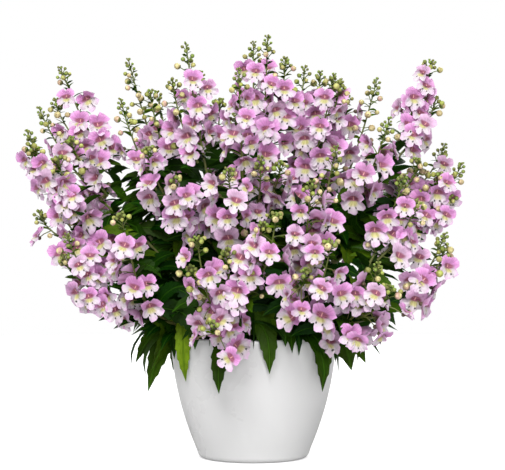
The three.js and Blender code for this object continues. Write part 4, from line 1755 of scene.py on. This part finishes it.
def add_raceme(gathering, shapes, shoot, flower, bloom, random):
    """The axis of a spike with its flowers and buds. Flowers below a level axis hang further down."""
    bloom_share, bare_share, open_share = bloom
    line, spike, foot = shoot["line"], shoot["spike"], shoot["foot"]
    lure = towards_light(line.point(1))
    radii = [lerp(*AXIS_RADII, i / AXIS_STEPS) for i in range(AXIS_STEPS + 1)]
    axis, corners = ring_tube(line.spots(foot, 1, AXIS_STEPS), radii, AXIS_SIDES)
    gathering.add(axis, corners, AXIS_TINT, STALK_SLOT)
    flowering = spike * bloom_share
    count = half_up(flowering * MM / flower.spacing)
    reach = flower.reach / MM
    for i in range(count):
        youth = i / count
        distance = lerp(FIRST_FLOWER, flowering + FIRST_FLOWER, youth)
        size = lerp(*FLOWER_SIZES, youth**2) * random.uniform(*FLOWER_SIZE_PLAY)
        turn = shoot["turn"] + i * TURN + random.uniform(-FLOWER_TURN_PLAY, FLOWER_TURN_PLAY)
        place = place_on(line, foot + distance / line.length, turn)
        point, _, out = place
        bud_to = BUD_CLOSENESS * reach * random.uniform(*REACH_PLAY)
        hanging = HANGING * clamp((HANGING_FROM - point[1]) / HANGING_RANGE)
        flower_to = bud_to / BUD_CLOSENESS * (1 + hanging * max(0.0, -out[2]))
        if not off_the_wall(point, out, flower_to, flower.radius / MM):
            continue
        bare = youth < bare_share
        shade = 1.0 if bare else clamp(SIDE_SHADE - SHADE_CHANGE * (out @ unit(lure)))
        missing = bare or random.random() < MISSING_IN_SHADE * shade**2
        if youth > open_share or random.random() < HALF_OPEN_SHARE:
            radius = random.uniform(*RIPE_RADII)
            add_bud(gathering, shapes, place, lure, radius, bud_to, random.uniform(*RIPE_RANGE))
        elif not missing:
            add_flower(gathering, shapes, place, lure, size, flower_to, random)
        longest = lerp(BRACT_IN_LIGHT, lerp(*BRACTS_IN_SHADE, youth), shade)
        add_bract(gathering, shapes, place, longest * random.uniform(*BRACT_SIZE_PLAY), random)
    add_buds(gathering, shapes, shoot, flowering, random)


def add_buds(gathering, shapes, shoot, flowering, random):
    """Buds up the top of the spike, from ripe and round to a knot of tiny green ones."""
    line, spike, foot = shoot["line"], shoot["spike"], shoot["foot"]
    for i in range(BUD_COUNT):
        height = i / (BUD_COUNT - 1)
        crowded = 1 - (1 - height) ** BUD_CROWDING
        distance = lerp(flowering + BUDS_ABOVE, spike - BUDS_BELOW_TIP, crowded)
        turn = shoot["turn"] + i * TURN + random.uniform(-BUD_TURN_PLAY, BUD_TURN_PLAY)
        place = place_on(line, foot + distance / line.length, turn)
        radius = lerp(*BUD_RADII, height**BUD_RADIUS_CURVE) * random.uniform(*BUD_RADIUS_PLAY)
        reach = lerp(*BUD_REACHES, height**BUD_REACH_CURVE) * random.uniform(*BUD_REACH_PLAY)
        ripeness = clamp(BUD_RIPENESS - BUD_RIPENESS_FALL * height + random.uniform(*BUD_RIPENESS_PLAY))
        add_bud(gathering, shapes, place, BUD_UPTURN * place[1], radius, reach, ripeness)
        add_bract(gathering, shapes, place, lerp(*BUD_BRACTS, height), random)


class ANGELONIA_OT_make_flower_spikes(bpy.types.Operator):
    """Make the flower spikes, one piece for each solid spike"""

    bl_idname = "angelonia.make_flower_spikes"
    bl_label = "Flower spikes"

    def execute(self, context):
        settings = context.scene.angelonia
        make_materials(settings)
        materials = [bpy.data.materials[name] for name in ("stalk", "petal", "bud", "leaf")]
        radius = settings.flower.radius / MM
        kinds = enumerate(FLOWER_CUPPINGS)
        shapes = {
            "flowers": [model_flower(radius, cupping, Random(kind)) for kind, cupping in kinds],
            "calyx": model_bulb(*CALYX_BULB),
            "bud": model_bulb(*BUD_BULB),
            "bract": model_blade(BRACT_STATIONS),
        }
        made = []
        for number, shoot in enumerate(SHOOTS, 1):
            piece = spike_piece(number, shoot, shapes, settings.flower, materials)
            finish_piece(piece, "petal_pink", "flower_spike_%02d" % number)
            made.append(piece)
        return require(made, "the flower spikes")


# Stage

WHITE = (1, 1, 1, 1)
FLOOR_RADIUS = 1.6
FLOOR_SIDES = 128
FLOOR_GREY = (0.6, 0.6, 0.6, 1)
FLOOR_GLOW = 0.66
# Square lights: name, place, width in metres and power in watts. They face the middle of the plant.
SOFTBOXES = [
    ("key", (-0.3, -1.9, 1.8), 1.0, 58),
    ("fill", (0.3, -2.3, 0.5), 0.8, 20),
    ("top", (0.0, 0.0, 2.2), 1.2, 8),
    ("left", (-2.2, 0.6, 0.9), 1.0, 8),
    ("right", (2.2, 0.6, 0.9), 1.0, 8),
    ("back", (0.2, 2.3, 1.2), 1.0, 36),
]
PLANT_MIDDLE = (0, 0, 0.2)
# The view's middle passes this far beside the pot's axis.
VIEW_ASIDE = -0.00085
SENSOR_WIDTH = 36
CLIP_END = 20


def camera_sees(tree):
    return add_node(tree, "ShaderNodeLightPath").outputs["Is Camera Ray"]


def add_facing(name, data, place, target):
    """Places a lamp or a camera so that it faces the target."""
    made = bpy.data.objects.new(name, data)
    made.location = place
    aim = Vector(target) - made.location
    made.rotation_euler = aim.to_track_quat("-Z", "Y").to_euler()
    bpy.context.scene.collection.objects.link(made)
    return made


def make_floor():
    """A pale disc, lit up for the camera so that it passes into the white behind."""
    start_modelling()
    bpy.ops.mesh.primitive_circle_add(vertices=FLOOR_SIDES, radius=FLOOR_RADIUS, fill_type="NGON")
    floor = bpy.context.object
    floor.name = "floor"
    tree, shader = new_material("floor_white", roughness=0.9, base_color=FLOOR_GREY, emission_color=WHITE)
    feed(tree, shader.inputs["Emission Strength"], times(tree, camera_sees(tree), FLOOR_GLOW))
    floor.data.materials.append(bpy.data.materials["floor_white"])
    return floor


def add_softbox(name, place, width, power):
    light = bpy.data.lights.new(name, "AREA")
    light.shape = "SQUARE"
    light.size = width
    light.energy = power
    add_facing(name, light, place, PLANT_MIDDLE)


def make_world(ambient):
    """White for the camera, and a softer white as light."""
    world = bpy.data.worlds.new("studio")
    world.use_nodes = True
    tree = world.node_tree
    background = tree.nodes["Background"]
    background.inputs["Color"].default_value = WHITE
    strength = maths(tree, "ADD", times(tree, camera_sees(tree), 1.0 - ambient), ambient)
    feed(tree, background.inputs["Strength"], strength)
    bpy.context.scene.world = world


def make_camera(stage):
    camera = bpy.data.cameras.new("camera")
    camera.lens = stage.lens
    camera.sensor_width = SENSOR_WIDTH
    camera.clip_end = CLIP_END
    place = (VIEW_ASIDE, -stage.distance, stage.height)
    bpy.context.scene.camera = add_facing("camera", camera, place, (VIEW_ASIDE, 0, stage.aim))


class ANGELONIA_OT_make_stage(bpy.types.Operator):
    """Make the pale floor, the soft lights and the camera"""

    bl_idname = "angelonia.make_stage"
    bl_label = "Stage"

    def execute(self, context):
        stage = context.scene.angelonia.stage
        floor = make_floor()
        for softbox in SOFTBOXES:
            add_softbox(*softbox)
        make_world(stage.ambient)
        make_camera(stage)
        context.scene.view_settings.view_transform = "Standard"
        return require([floor], "the stage")


class ANGELONIA_PT_pieces(bpy.types.Panel):
    """Lists the operators that make the plant"""

    bl_idname = "ANGELONIA_PT_pieces"
    bl_label = "Potted Angelonia"
    bl_space_type = "VIEW_3D"
    bl_region_type = "UI"
    bl_category = "Angelonia"

    def draw(self, context):
        settings = context.scene.angelonia
        for operator in PIECES:
            self.layout.operator(operator.bl_idname)
        self.layout.prop(settings.flower, "radius")
        self.layout.prop(settings.leaf, "length")
        self.layout.prop(settings.pot, "glaze")


PIECES = (
    ANGELONIA_OT_make_stage,
    ANGELONIA_OT_make_pot,
    ANGELONIA_OT_make_soil,
    ANGELONIA_OT_make_leafy_stems,
    ANGELONIA_OT_make_flower_spikes,
)
SETTINGS = (PotSettings, FlowerSettings, LeafSettings, StageSettings, AngeloniaSettings)
CLASSES = (*SETTINGS, *PIECES, ANGELONIA_PT_pieces)


def register():
    for each in CLASSES:
        bpy.utils.register_class(each)
    bpy.types.Scene.angelonia = PointerProperty(type=AngeloniaSettings)


def unregister():
    del bpy.types.Scene.angelonia
    for each in reversed(CLASSES):
        bpy.utils.unregister_class(each)


def main():
    register()
    bpy.ops.angelonia.make_stage()
    bpy.ops.angelonia.make_pot()
    bpy.ops.angelonia.make_soil()
    bpy.ops.angelonia.make_leafy_stems()
    bpy.ops.angelonia.make_flower_spikes()
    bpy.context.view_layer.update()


if __name__ == "__main__":
    main()
